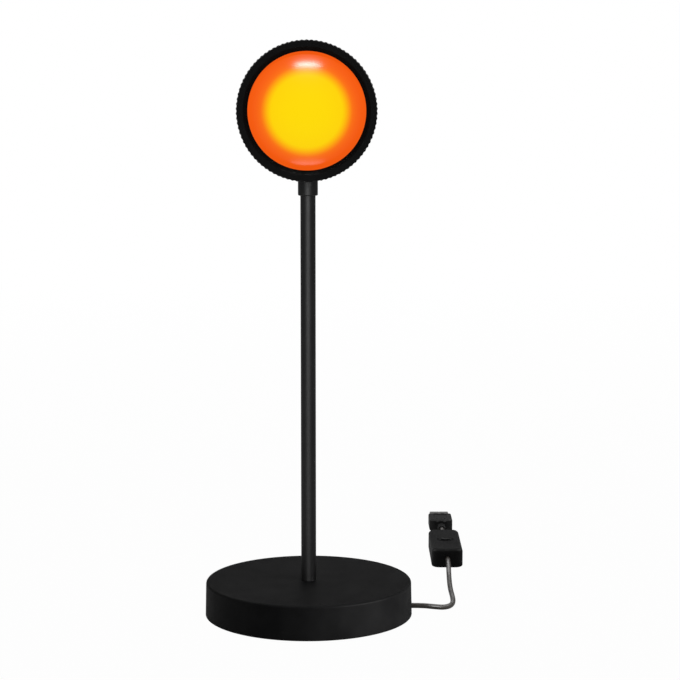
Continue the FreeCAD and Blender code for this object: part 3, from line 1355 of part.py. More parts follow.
def check_all():
    """Stops if any feature failed, any cut missed, or any sub-part isn't sound."""
    faults = []
    for item in document.Objects:
        if "Invalid" in item.State or "Error" in item.State:
            faults.append("%s is %s" % (item.Name, item.State))
    for feature in cuts:
        base = feature.BaseFeature
        if not faults and base.Shape.Volume - feature.Shape.Volume < 1e-6:
            faults.append("%s cuts nothing" % feature.Name)
    for item in sub_parts:
        if item.Shape.isNull() or not item.Shape.isValid() or item.Shape.Volume <= 0:
            faults.append("%s has no sound shape" % item.Label)
    if faults:
        raise RuntimeError("; ".join(faults))


make_all()
document.recompute()
check_all()
os.makedirs("parts", exist_ok=True)
for item in sub_parts:
    item.Shape.exportStep("parts/%s.step" % item.Label)
print("%d sub-parts, %.1f mm tall" % (len(sub_parts), (head_axis + size("ring_radius")).value))
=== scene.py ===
import json
from math import pi, radians

import bmesh
import bpy
import numpy as np
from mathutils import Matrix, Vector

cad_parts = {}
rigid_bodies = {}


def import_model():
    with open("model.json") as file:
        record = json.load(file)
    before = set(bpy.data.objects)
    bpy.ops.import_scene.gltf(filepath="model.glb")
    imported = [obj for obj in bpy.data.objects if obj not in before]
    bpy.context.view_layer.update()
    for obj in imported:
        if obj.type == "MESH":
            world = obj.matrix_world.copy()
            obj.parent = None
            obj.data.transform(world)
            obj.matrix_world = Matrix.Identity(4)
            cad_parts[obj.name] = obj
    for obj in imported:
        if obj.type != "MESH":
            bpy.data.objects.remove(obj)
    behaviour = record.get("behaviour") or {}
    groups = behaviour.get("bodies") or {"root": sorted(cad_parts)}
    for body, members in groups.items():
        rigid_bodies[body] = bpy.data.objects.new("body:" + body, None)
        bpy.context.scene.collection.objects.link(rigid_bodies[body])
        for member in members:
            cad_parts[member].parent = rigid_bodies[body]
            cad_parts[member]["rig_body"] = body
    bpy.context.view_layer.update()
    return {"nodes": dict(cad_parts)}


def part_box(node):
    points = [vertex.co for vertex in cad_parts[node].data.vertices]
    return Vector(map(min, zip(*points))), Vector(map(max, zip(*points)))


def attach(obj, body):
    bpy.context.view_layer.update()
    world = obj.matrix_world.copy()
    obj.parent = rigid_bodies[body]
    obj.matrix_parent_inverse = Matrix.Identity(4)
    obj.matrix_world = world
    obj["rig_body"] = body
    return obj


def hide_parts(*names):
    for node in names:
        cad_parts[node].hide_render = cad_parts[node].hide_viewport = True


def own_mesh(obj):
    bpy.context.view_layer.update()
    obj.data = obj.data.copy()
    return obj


bl_info = {
    "name": "Sunset Projection Lamp",
    "version": (1, 0, 0),
    "blender": (4, 2, 0),
    "location": "3D View > Sidebar > Sunset Lamp",
    "description": "Dresses the lamp's CAD frame and sets it in a small photo studio",
    "category": "Add Mesh",
}

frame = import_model()

MM = 0.001
STEPS_ROUND = 160          # columns of a turned surface
POLE_STEPS = 96            # the same on the pole
BUTTON_STEPS = 72          # the same on the button
HOLE_STEPS = 64            # the same on a small hole
BOSS_STEPS = 48            # the same on a boss
DOME_STEPS = 49            # rows of the lens's dome
DISH_STEPS = 12            # rows of the button's sunk face
SWEEP_STEPS = 25           # rows of the bend behind the table
ARC_STEPS = 5              # points of one rounded corner
EDGE_BREAK = 0.12 * MM     # a machined or moulded edge is never quite sharp
SHARP_EDGE = radians(32)   # an edge that bends by more than this stays crisp
CAD_EDGE = radians(18)     # the same on CAD nodes, whose curves bend by less from face to face
FLAT_WITHIN = radians(0.2)  # faces that turn by less than this lie in one plane
FLAT_CORNERS = 8           # a face with more corners than this is flat, not part of a curve
STRONG = 16384             # Blender's mark for a face that alone sets the shading at its corners
SLIVER = 0.002 * MM        # thinner triangles than this are dropped
WELD = 1e-7                # points nearer than this are one point
OVERRUN = 1 * MM           # how far a cutter passes the face that it opens
MATT_GLOSS = 0.12          # dull black finishes mirror less than a polished one
CLOUD_MM = 14.0            # width of the faint clouds in a moulded or coated finish
GLOSS_SHARE = 0.05         # how much of the white background shows in gloss
WORLD_FILL = 0.15          # faint light from all round

# These lamps shine only on the finishes named here, as black goods are lit in a studio.
TALL_FINISHES = ("pole_coat", "knuckle_metal", "screw_black")
SMALL_FINISHES = ("lead_pvc", "head_metal", "ring_metal", "switch_black", "button_black",
                  "plug_pvc", "plug_nickel")
LIT_ALONE = {
    "front": TALL_FINISHES,
    "side": ("base_satin_black", "lead_pvc"),
    "left": SMALL_FINISHES,
    "right": SMALL_FINISHES,
    "back": TALL_FINISHES + ("head_metal", "ring_metal", "lead_pvc"),
}

# Places read from the CAD frame.
RING_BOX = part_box("bezel_ring")
BASE_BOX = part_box("base_cover")
POLE_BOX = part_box("pole_tube")
SINK_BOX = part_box("heat_sink")
LENS_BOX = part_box("front_lens")
BUTTON_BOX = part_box("switch_button")
HEAD_AXIS = (RING_BOX[0].z + RING_BOX[1].z) / 2
RING_FACE = RING_BOX[0].y
LENS_RADIUS = LENS_BOX[1].x

# What the lamps face, and each lamp: its name and setting, place, aim, panel and shape.
BASE_MIDDLE, LAMP_MIDDLE = (0.0, 0.0, 0.01), (0.0, 0.0, 0.15)
LENS_FRONT = (0.0, LENS_BOX[0].y, HEAD_AXIS)
LAMPS = (
    ("front", "front", (0.0, -1.25, 0.35), LAMP_MIDDLE, (1.1, 0.9), "RECTANGLE"),
    ("side", "side", (0.84, -0.4, 0.3), BASE_MIDDLE, (0.5, 0.4), "RECTANGLE"),
    ("left", "flank", (-0.95, 0.4, 0.85), LAMP_MIDDLE, (0.8, 0.8), "RECTANGLE"),
    ("right", "flank", (0.95, 0.4, 0.85), LAMP_MIDDLE, (0.8, 0.8), "RECTANGLE"),
    ("back", "back", (0.0, 1.1, 0.95), LAMP_MIDDLE, (1.1, 0.8), "RECTANGLE"),
    ("overhead", "overhead", (0.0, 0.1, 1.2), BASE_MIDDLE, (1.2, 1.2), "RECTANGLE"),
    ("lens_top", "lens_top", (0.0, -0.305, 0.665), LENS_FRONT, (0.24, 0.035), "ELLIPSE"),
    ("lens_low", "lens_low", (0.0, -0.125, 0.02), LENS_FRONT, (0.16, 0.05), "ELLIPSE"),
)

# The lead's route, the same points as in the part's source.
LOWER_ROUTE = MM * np.array([
    (55.5, 0.0, 4.5), (61.5, 0.0, 4.5), (67.8, 1.6, 3.4), (73.3, 5.2, 2.0),
    (77.2, 10.6, 1.45), (79.0, 17.6, 1.5), (79.3, 29.0, 1.45), (78.9, 46.0, 1.5),
    (79.3, 64.0, 1.45), (79.7, 77.0, 2.0), (80.0, 87.0, 4.5), (80.1, 94.0, 5.5),
    (80.1, 101.3, 5.5),
])
UPPER_ROUTE = MM * np.array([
    (80.1, 153.1, 5.5), (80.1, 159.0, 5.5), (80.3, 166.5, 4.2), (80.7, 174.0, 3.2),
    (80.8, 180.5, 3.7), (80.8, 186.3, 3.7),
])


def colour(code):
    """An sRGB hex value as linear red, green and blue, with alpha 1."""
    channels = np.array([int(code[place:place + 2], 16) for place in (1, 3, 5)]) / 255
    linear = np.where(channels <= 0.04045, channels / 12.92, ((channels + 0.055) / 1.055) ** 2.4)
    return (*linear.tolist(), 1.0)


# ---------------------------------------------------------------- sizes and colours

def length(label, meaning, value):
    """A length that can be changed, in metres."""
    return bpy.props.FloatProperty(name=label, description=meaning, default=value,
                                   unit="LENGTH", subtype="DISTANCE", precision=5)


def tint(label, meaning, code):
    """A colour that can be changed, given as a hex value."""
    return bpy.props.FloatVectorProperty(name=label, description=meaning, default=colour(code),
                                         size=4, min=0.0, max=1.0, subtype="COLOR")


def power(label, meaning, value):
    """A lamp's power that can be changed, in watts."""
    return bpy.props.FloatProperty(name=label, description=meaning, default=value, unit="POWER")


class LampSizes(bpy.types.PropertyGroup):
    """Sizes of the surfaces that replace CAD solids; their places come from the frame."""

    base_radius: length("Base radius", "Base cover at its rim", BASE_BOX[1].x)
    base_draft: length("Base draft", "How much narrower the base is at its top", 0.4 * MM)
    base_edge: length("Base edge", "Rounding where the wall meets the deck", 1.3 * MM)
    base_wall: length("Base wall", "Wall and deck of the base cover", 2.2 * MM)
    base_fillet: length("Base fillet", "Rounding inside, under the deck", 0.8 * MM)
    bush_hole: length("Bush hole", "Radius of the hole for the lead's bush", 2.65 * MM)
    boss_inset: length("Boss inset", "From the base screws' box in to a boss's axis", 2.7 * MM)
    boss_bore: length("Boss bore", "Radius of a boss's pilot hole", 1.45 * MM)
    boss_radius: length("Boss radius", "A boss where it passes the weight", 3.6 * MM)
    boss_root: length("Boss root", "A boss above the weight", 6.0 * MM)
    pole_radius: length("Pole radius", "Outer radius of the pole", POLE_BOX[1].x)
    pole_bore: length("Pole bore", "Lead way through the pole", 2.6 * MM)
    spigot_radius: length("Spigot radius", "Threaded foot of the pole", 3.6 * MM)
    spigot_play: length("Spigot play", "Between the pole's foot and its hole", 0.05 * MM)
    groove_rise: length("Groove rise", "From the collar's foot up to the groove", 2.2 * MM)
    groove_width: length("Groove width", "Groove that the grub screw runs in", 1.6 * MM)
    groove_depth: length("Groove depth", "Groove that the grub screw runs in", 0.6 * MM)
    ring_radius: length("Ring radius", "Lens ring over its ribs", RING_BOX[1].x)
    ring_opening: length("Ring opening", "Radius of the opening that shows the lens", 30.2 * MM)
    ring_mouth: length("Ring mouth", "Outer radius of the sloped inner face", 32.5 * MM)
    ring_slope: length("Ring slope", "Depth of the sloped inner face", 2.5 * MM)
    ring_lip: length("Ring lip", "Depth of the lip in front of the lens", 3.5 * MM)
    ring_bore: length("Ring bore", "Bore that holds the lens", 32.4 * MM)
    ring_bore_end: length("Ring bore end", "Where the lens bore meets the thread", 11.2 * MM)
    ring_thread: length("Ring thread", "Radius of the ring's thread", 33.18 * MM)
    ring_edge: length("Ring edge", "Bevel on the ring's edges", 0.6 * MM)
    rib_count: bpy.props.IntProperty(name="Ribs", description="Ribs round the lens ring",
                                     default=90, min=12, max=180)
    rib_hollow: length("Rib hollow", "Radius of the hollow between two ribs", 1.6 * MM)
    rib_depth: length("Rib depth", "Depth of the hollow between two ribs", 0.3 * MM)
    sink_seat: length("Sink seat", "Seat of the light board on the heat sink", 11.0 * MM)
    sink_plug: length("Sink plug", "Radius of the heat sink inside the shell", 26.3 * MM)
    sink_spigot: length("Sink spigot", "Length of the heat sink inside the shell", 3.0 * MM)
    sink_bevel: length("Sink bevel", "Bevel on the heat sink's rear edge", 1.0 * MM)
    fin_thickness: length("Fin thickness", "A fin of the heat sink", 1.6 * MM)
    fin_gap: length("Fin gap", "Groove between two fins", 1.8 * MM)
    fin_depth: length("Fin depth", "Depth of a groove", 3.4 * MM)
    fin_gaps: bpy.props.IntProperty(name="Fin gaps", description="Grooves round the heat sink",
                                    default=3, min=1, max=3)
    sink_circle: length("Screw circle", "From the head's axis to a rear screw", 22.4 * MM)
    sink_hole: length("Screw hole", "Radius of a rear screw's hole", 1.45 * MM)
    sink_recess: length("Screw recess", "Radius of a rear screw's recess", 2.6 * MM)
    recess_depth: length("Recess depth", "Depth of a rear screw's recess", 2.2 * MM)
    board_circle: length("Board screws", "From the head's axis to a board screw", 8.6 * MM)
    board_hole: length("Board hole", "Radius of a board screw's hole", 0.95 * MM)
    board_hole_depth: length("Board hole depth", "Depth of a board screw's hole", 3.5 * MM)
    lens_dome: length("Lens dome", "Radius of the dome at its foot", 29.8 * MM)
    lens_rise: length("Lens rise", "Height of the dome", 9.5 * MM)
    lead_radius: length("Lead radius", "Radius of the round lead", 1.4 * MM)
    button_face: length("Button face", "Radius of the button's face", 2.9 * MM)
    button_height: length("Button height", "From the button's flange up to its face", 2.5 * MM)
    button_flange: length("Button flange", "Thickness of the button's flange", 0.9 * MM)
    button_stem: length("Button stem", "Radius of the button's stem", 1.2 * MM)
    button_dish: length("Button dish", "How far the button's face is sunk", 0.25 * MM)
    button_rim: length("Button rim", "Width of the round between face and side", 0.5 * MM)
    button_drop: length("Button drop", "How far that round falls", 0.4 * MM)
    button_stroke: length("Button stroke", "How far the button goes in when pressed", 1.2 * MM)


class LampColours(bpy.types.PropertyGroup):
    """Colours of the finishes, as the eye sees them under plain white light; the four lens colours
    are its painted glow.
    """

    case_black: tint("Case black", "Moulded base, switch and plug grip", "#0A0A0B")
    metal_black: tint("Metal black", "Coated pole, knuckle, head and lens ring", "#09090A")
    lead_black: tint("Lead black", "Sheath of the lead", "#231F1B")
    # painted glow: the lens gives off these four as light, standing in for the LED shining through
    # its amber coating
    lens_glow_middle: tint("Lens middle", "Middle of the coated lens", "#FDDC01")
    lens_glow_amber: tint("Lens amber", "Between the lens's middle and its edge", "#FDAE06")
    lens_glow_orange: tint("Lens orange", "Outer half of the coated lens", "#FA5E16")
    lens_glow_edge: tint("Lens edge", "Edge of the coated lens", "#F1580F")
    nickel: tint("Nickel", "Plated sheet of the plug", "#C9C8C5")
    steel: tint("Steel", "Bright zinc-plated screws, washer and nuts", "#B4B6B8")


class StudioSettings(bpy.types.PropertyGroup):
    """Camera and lamps; the camera stands where the photographer's stood."""

    lens: bpy.props.FloatProperty(name="Lens", description="Focal length of the camera",
                                  default=110.04, unit="CAMERA")
    place: bpy.props.FloatVectorProperty(name="Camera place", description="Where the camera is",
                                         default=(0.01686, -1.09247, 0.3010), subtype="XYZ",
                                         unit="LENGTH")
    pitch: bpy.props.FloatProperty(name="Pitch", description="How far the camera looks down",
                                   default=radians(7.907), subtype="ANGLE")
    front: power("Front", "Wide lamp behind the camera", 11.0)
    side: power("Side", "Low lamp on the right", 9.0)
    flank: power("Flank", "Each of two high lamps at the sides", 6.0)
    back: power("Back", "High lamp behind", 8.0)
    overhead: power("Overhead", "Large lamp above", 3.0)
    lens_top: power("Lens top", "Lamp whose gleam shows high on the lens", 3.4)
    lens_low: power("Lens low", "Lamp whose gleam shows low on the lens", 0.2)


# ---------------------------------------------------------------- shapes

def rounded_outline(corners):
    """A closed outline whose corners (across, up, radius) become arcs touching both runs.

    An arc's middle lies on the corner's bisector, radius over the sine of half the angle away;
    its points are weighted by sines, so they turn evenly from one touching point to the other.
    """
    spots = np.array([corner[:2] for corner in corners], float)
    radii = np.array([corner[2] if len(corner) == 3 else EDGE_BREAK for corner in corners])
    back = np.roll(spots, 1, axis=0) - spots
    ahead = np.roll(spots, -1, axis=0) - spots
    back /= np.linalg.norm(back, axis=1, keepdims=True)
    ahead /= np.linalg.norm(ahead, axis=1, keepdims=True)
    half = np.arccos(np.clip((back * ahead).sum(axis=1), -1, 1)) / 2
    bisector = (back + ahead) / np.linalg.norm(back + ahead, axis=1, keepdims=True)
    middle = spots + bisector * (radii / np.sin(half))[:, None]
    reach = (radii / np.tan(half))[:, None]
    turn = (pi - 2 * half)[:, None, None]
    part = np.linspace(0, 1, ARC_STEPS)[None, :, None]
    first = (spots + back * reach - middle)[:, None, :]
    last = (spots + ahead * reach - middle)[:, None, :]
    arc = (np.sin((1 - part) * turn) * first + np.sin(part * turn) * last) / np.sin(turn)
    return (middle[:, None, :] + arc).reshape(-1, 2)


def turned_grid(outline, columns=STEPS_ROUND, centre=(0.0, 0.0), limit=None):
    """Carries an outline (radius, rise) round an axis: radius cos a, radius sin a, rise.

    A limit is a function of the angle that the radius may not pass, such as a ribbed edge.
    """
    angle = np.linspace(0, 2 * pi, columns, endpoint=False)
    radius = np.repeat(outline[:, :1], columns, axis=1)
    if limit is not None:
        radius = np.minimum(radius, limit(angle)[None, :])
    return np.stack([
        centre[0] + radius * np.cos(angle), centre[1] + radius * np.sin(angle),
        np.repeat(outline[:, 1:], columns, axis=1),
    ], axis=-1)


def grid_faces(rows, columns, closed_rows):
    """Quads between neighbouring rows and columns; columns always close, rows if asked."""
    row = np.arange(rows if closed_rows else rows - 1)[:, None]
    column = np.arange(columns)[None, :]
    here, above = row * columns, (row + 1) % rows * columns
    beside = (column + 1) % columns
    quads = np.stack([here + column, here + beside, above + beside, above + column], axis=-1)
    return quads.reshape(-1, 4)


def along_head(points):
    """Lays a turned surface along the head: its rise becomes the depth behind the ring's face."""
    return np.stack([points[..., 0], RING_FACE + points[..., 2], HEAD_AXIS + points[..., 1]],
                    axis=-1)


def place_piece(name, data, body, slot, nodes):
    """Gives a mesh or curve its finish, its body and its lamps, and hides the CAD nodes it stands
    for.
    """
    piece = bpy.data.objects.new(name, data)
    bpy.context.scene.collection.objects.link(piece)
    data.materials.clear()
    data.materials.append(finish_for(slot))
    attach(piece, body)
    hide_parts(*nodes)
    for lamp, slots in LIT_ALONE.items():
        if slot in slots:
            bpy.data.objects[lamp].light_linking.receiver_collection.objects.link(piece)
    return piece


def link_piece(name, mesh, body, slot, nodes):
    """Places a mesh and lets its broad faces set the shading at the corners they share."""
    piece = place_piece(name, mesh, body, slot, nodes)
    piece.modifiers.new("even_shading", "WEIGHTED_NORMAL").keep_sharp = True
    return piece


def clean_mesh(mesh, sharp=SHARP_EDGE):
    """Merges doubled points, turns the faces outward and keeps real edges crisp."""
    shape = bmesh.new()
    shape.from_mesh(mesh)
    bmesh.ops.remove_doubles(shape, verts=shape.verts, dist=WELD)
    bmesh.ops.recalc_face_normals(shape, faces=shape.faces)
    shape.to_mesh(mesh)
    shape.free()
    mesh.shade_smooth()
    mesh.set_sharp_from_angle(angle=sharp)


def surface_mesh(name, grids):
    """One mesh from several grids of points, each given with whether its rows close."""
    points, faces, start = [], [], 0
    for grid, closed_rows in grids:
        rows, columns = grid.shape[:2]
        points.append(grid.reshape(-1, 3))
        faces.append(grid_faces(rows, columns, closed_rows) + start)
        start += rows * columns
    points, faces = np.concatenate(points), np.concatenate(faces)
    mesh = bpy.data.meshes.new(name)
    mesh.vertices.add(len(points))
    mesh.vertices.foreach_set("co", points.ravel())
    mesh.loops.add(faces.size)
    mesh.loops.foreach_set("vertex_index", faces.ravel())
    mesh.polygons.add(len(faces))
    mesh.polygons.foreach_set("loop_start", np.arange(0, faces.size, 4))
    mesh.update(calc_edges=True)
    clean_mesh(mesh)
    return mesh


def merged_copy(node, slot, sharp=CAD_EDGE, weigh_by="FACE_AREA"):
    """A CAD node's own shape with its loose triangles joined and smoothed between edges.

    Triangles that lie in one plane become one face. A face with many corners is flat, and so is
    what lies beside it in its plane: these are marked, so that their shading stays flat.
    """
    mesh = frame["nodes"][node].data.copy()
    clean_mesh(mesh, sharp)
    shape = bmesh.new()
    shape.from_mesh(mesh)
    bmesh.ops.dissolve_degenerate(shape, dist=SLIVER, edges=shape.edges)
    bmesh.ops.dissolve_limit(shape, angle_limit=FLAT_WITHIN, verts=shape.verts,
                             edges=shape.edges, delimit={"SHARP"})
    shape.normal_update()
    shape.faces.index_update()
    flat = np.zeros(len(shape.faces), dtype=np.int32)
    waiting = [face for face in shape.faces if len(face.verts) > FLAT_CORNERS]
    while waiting:
        face = waiting.pop()
        flat[face.index] = STRONG
        waiting += [beside for edge in face.edges if edge.calc_face_angle(pi) < FLAT_WITHIN
                    for beside in edge.link_faces if not flat[beside.index]]
    shape.to_mesh(mesh)
    shape.free()
    strength = mesh.attributes.new("__mod_weightednormals_faceweight", "INT", "FACE")
    strength.data.foreach_set("value", flat)
    piece = link_piece(node + "_finished", mesh, frame["nodes"][node]["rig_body"], slot, [node])
    shading = piece.modifiers["even_shading"]
    shading.mode, shading.use_face_influence = weigh_by, True
    return piece


def finish_nodes(slots, **how):
    """Makes the finished copy of each CAD node in a table of nodes and their slots."""
    for node, slot in slots.items():
        merged_copy(node, slot, **how)
    return {"FINISHED"}


def drill(mesh, holes):
    """Cuts round holes into a mesh, each from one point to another and square to the Z axis.

    A point of the cutter is the hole's start, plus its rise along the hole, plus the cosine part
    of its radius across the hole and the sine part straight up.
    """
    scene = bpy.context.scene.collection
    piece = bpy.data.objects.new("drilled", mesh)
    scene.objects.link(piece)
    cutters, up = [], np.array((0.0, 0.0, 1.0))
    for radius, start, end in holes:
        start, end = np.array(start), np.array(end)
        depth = np.linalg.norm(end - start)
        along = (end - start) / depth
        grid = turned_grid(np.array([(0, 0), (radius, 0), (radius, depth), (0, depth)]),
                           HOLE_STEPS)
        points = (start + grid[..., :1] * np.cross(along, up) + grid[..., 1:2] * up
                  + grid[..., 2:] * along)
        cutter = bpy.data.objects.new("cutter", surface_mesh("cutter", [(points, False)]))
        scene.objects.link(cutter)
        cutters.append(cutter)
        cut = piece.modifiers.new("hole", "BOOLEAN")
        cut.operation, cut.solver, cut.object = "DIFFERENCE", "EXACT", cutter
    graph = bpy.context.evaluated_depsgraph_get()
    drilled = bpy.data.meshes.new_from_object(piece.evaluated_get(graph))
    for item in [piece] + cutters:
        bpy.data.objects.remove(item)
    clean_mesh(drilled)
    return drilled


# ---------------------------------------------------------------- materials

def add_node(tree, kind, inputs=(), **settings):
    """Adds a shader node; a socket's value is a number, a colour or another node's output."""
    node = tree.nodes.new("ShaderNode" + kind)
    for name, value in settings.items():
        setattr(node, name, value)
    for socket, value in dict(inputs).items():
        if isinstance(value, bpy.types.NodeSocket):
            tree.links.new(value, node.inputs[socket])
        else:
            node.inputs[socket].default_value = value
    return node


def bare_tree(owner):
    """The emptied node tree of a material or of the world."""
    owner.use_nodes = True
    owner.node_tree.nodes.clear()
    return owner.node_tree


def new_material(name, **constants):
    """A material with one Principled shader, whose plain values are set on its own sockets."""
    material = bpy.data.materials.new(name)
    tree = bare_tree(material)
    shader = add_node(tree, "BsdfPrincipled")
    for socket, value in constants.items():
        shader.inputs[socket.replace("_", " ")].default_value = value
    add_node(tree, "OutputMaterial", {"Surface": shader.outputs[0]})
    return material, tree, shader


def grain(tree, size_mm, detail=2.0, roughness=0.5):
    """Cloudy noise on Object coordinates whose blobs are about as wide as the given size."""
    where = add_node(tree, "TexCoord")
    return add_node(tree, "TexNoise", {
        "Vector": where.outputs["Object"], "Scale": 1 / (size_mm * MM),
        "Detail": detail, "Roughness": roughness,
    }).outputs["Fac"]


def lighten(code, amount):
    """The same colour, a little nearer to white."""
    return (*(channel + (1 - channel) * amount for channel in code[:3]), 1.0)


def vary_surface(tree, shader, paint, gloss, relief):
    """Lets patterns shift a finish's colour and gloss a little and raise its surface.

    Paint is a pattern, a colour and how much lighter it gets. Gloss is a pattern, a roughness,
    and how far it falls and rises. Relief is a pattern, a height in millimetres and a strength.
    A pattern's 0.3 to 0.7, where most of it lies, becomes the whole range.
    """
    cloud, code, lighter = paint
    share = add_node(tree, "MapRange", {"Value": cloud, "From Min": 0.3, "From Max": 0.7})
    mixed = add_node(tree, "Mix", {0: share.outputs["Result"], 6: code,
                                   7: lighten(code, lighter)}, data_type="RGBA")
    tree.links.new(mixed.outputs[2], shader.inputs["Base Color"])
    marks, roughness, fall, rise = gloss
    rough = add_node(tree, "MapRange", {
        "Value": marks, "From Min": 0.3, "From Max": 0.7, "To Min": roughness - fall,
        "To Max": roughness + rise,
    })
    tree.links.new(rough.outputs["Result"], shader.inputs["Roughness"])
    skin, height_mm, strength = relief
    raised = add_node(tree, "Bump", {"Height": skin, "Distance": height_mm * MM,
                                     "Strength": strength})
    tree.links.new(raised.outputs[0], shader.inputs["Normal"])


def textured(name, code, roughness, grain_mm, depth_mm, tone=0.006, **constants):
    """A finish whose colour, gloss and relief vary with one fine grain and one broad cloud."""
    material, tree, shader = new_material(name, **constants)
    fine, broad = grain(tree, grain_mm), grain(tree, CLOUD_MM)
    vary_surface(tree, shader, (broad, code, tone), (fine, roughness, 0.05, 0.05),
                 (fine, depth_mm, 0.5))
    return material


def lathe_lines(tree, axis, centre, pitch_mm):
    """Fine rings about an axis: a sine of the distance from it, one wave to each tool mark."""
    where = add_node(tree, "TexCoord")
    moved = add_node(tree, "Mapping", {"Vector": where.outputs["Object"],
                                       "Location": tuple(-place for place in centre)})
    return add_node(tree, "TexWave", {
        "Vector": moved.outputs[0], "Scale": 2 * pi / (20 * pitch_mm * MM), "Distortion": 0.4,
        "Detail": 1.0,
    }, wave_type="RINGS", rings_direction=axis).outputs["Fac"]


# ABS from a spark-eroded mould: an even, very fine grain that breaks up the gloss. The real
# grain is about 0.1 mm wide, too fine to show, so it is drawn coarser.
def moulded_abs(name, code, roughness=0.56, grain_mm=0.35):
    return textured(name, code, roughness, grain_mm, 0.012, IOR=1.54,
                    Specular_IOR_Level=MATT_GLOSS)


# Soft PVC: smooth and faintly waxy, with slow waves from the extruder.
def soft_pvc(name, code, roughness=0.36, gloss=0.5):
    return textured(name, code, roughness, 1.6, 0.004, tone=0.008, IOR=1.53,
                    Specular_IOR_Level=gloss)


# Black anodised aluminium: a dark, slightly metallic skin over fine tool marks. The real marks
# are about 0.1 mm apart, too fine to show, so they are drawn 0.5 mm apart.
def black_anodised(name, code, axis, centre, roughness=0.5):
    material, tree, shader = new_material(name, Metallic=0.2, Specular_IOR_Level=0.4)
    marks = lathe_lines(tree, axis, centre, 0.5)
    vary_surface(tree, shader, (grain(tree, 6.0), code, 0.005), (marks, roughness, 0.03, 0.03),
                 (marks, 0.006, 0.25))
    return material


# Powder coat on steel tube: black with a soft orange-peel skin.
def powder_coat(name, code, roughness=0.44):
    return textured(name, code, roughness, 0.9, 0.008, tone=0.004, IOR=1.5,
                    Specular_IOR_Level=0.5)


# Zinc or nickel plating: bright and even, with a faint fine cloud in the gloss.
def plated(name, code, roughness=0.22):
    material, tree, shader = new_material(name, Metallic=1.0)
    cloud = grain(tree, 0.5, 3.0)
    vary_surface(tree, shader, (cloud, code, 0.04), (cloud, roughness, 0.02, 0.03),
                 (grain(tree, 0.3), 0.004, 0.3))
    return material


# Closed-cell foam: matt, with round pores about a millimetre apart.
def foam(name, code):
    material, tree, shader = new_material(name, Roughness=0.85)
    where = add_node(tree, "TexCoord")
    cells = add_node(tree, "TexVoronoi", {"Vector": where.outputs["Object"],
                                          "Scale": 1 / (0.9 * MM)})
    pores = add_node(tree, "MapRange", {"Value": cells.outputs["Distance"], "From Max": 0.5})
    pores = pores.outputs["Result"]
    mixed = add_node(tree, "Mix", {0: pores, 6: code, 7: lighten(code, 0.05)}, data_type="RGBA")
    tree.links.new(mixed.outputs[2], shader.inputs["Base Color"])
    raised = add_node(tree, "Bump", {"Height": pores, "Distance": 0.1 * MM, "Strength": 0.6})
    tree.links.new(raised.outputs[0], shader.inputs["Normal"])
    return material


def lens_glass(colours):
    """Domed glass with an amber coating, lit from behind, with a painted glow: the coating's
    yellow middle and orange edge are given off as emission, standing in for the LED's light
    shining through.

    The glow's colour is a ramp over the distance from the head's axis, as a share of the lens's
    radius.
    """
    # painted glow: the lens emits its own colours, standing in for the light of the LED behind it
    material, tree, shader = new_material("coated_domed_glass", Roughness=0.2, IOR=1.52,
                                          Base_Color=colour("#3A1A05"),
                                          Specular_IOR_Level=0.12, Emission_Strength=0.97)
    where = add_node(tree, "TexCoord")
    from_axis = add_node(tree, "Mapping", {
        "Vector": where.outputs["Object"], "Location": (0.0, 0.0, -HEAD_AXIS / LENS_RADIUS),
        "Scale": (1 / LENS_RADIUS, 0.0, 1 / LENS_RADIUS),
    })
    reach = add_node(tree, "VectorMath", {0: from_axis.outputs[0]}, operation="LENGTH")
    ramp = add_node(tree, "ValToRGB", {"Fac": reach.outputs["Value"]})
    ramp.color_ramp.interpolation = "B_SPLINE"
    stops = ramp.color_ramp.elements
    stops[0].position, stops[0].color = 0.56, colours.lens_glow_middle
    stops[1].position, stops[1].color = 0.92, colours.lens_glow_edge
    for place, code in ((0.645, colours.lens_glow_amber), (0.73, colours.lens_glow_orange)):
        stops.new(place).color = code
    # painted glow: the ramp drives the emission colour, not the base colour
    tree.links.new(ramp.outputs["Color"], shader.inputs["Emission Color"])
    raised = add_node(tree, "Bump", {"Height": grain(tree, 8.0), "Distance": 0.01 * MM,
                                     "Strength": 0.1})
    tree.links.new(raised.outputs[0], shader.inputs["Normal"])
    return material


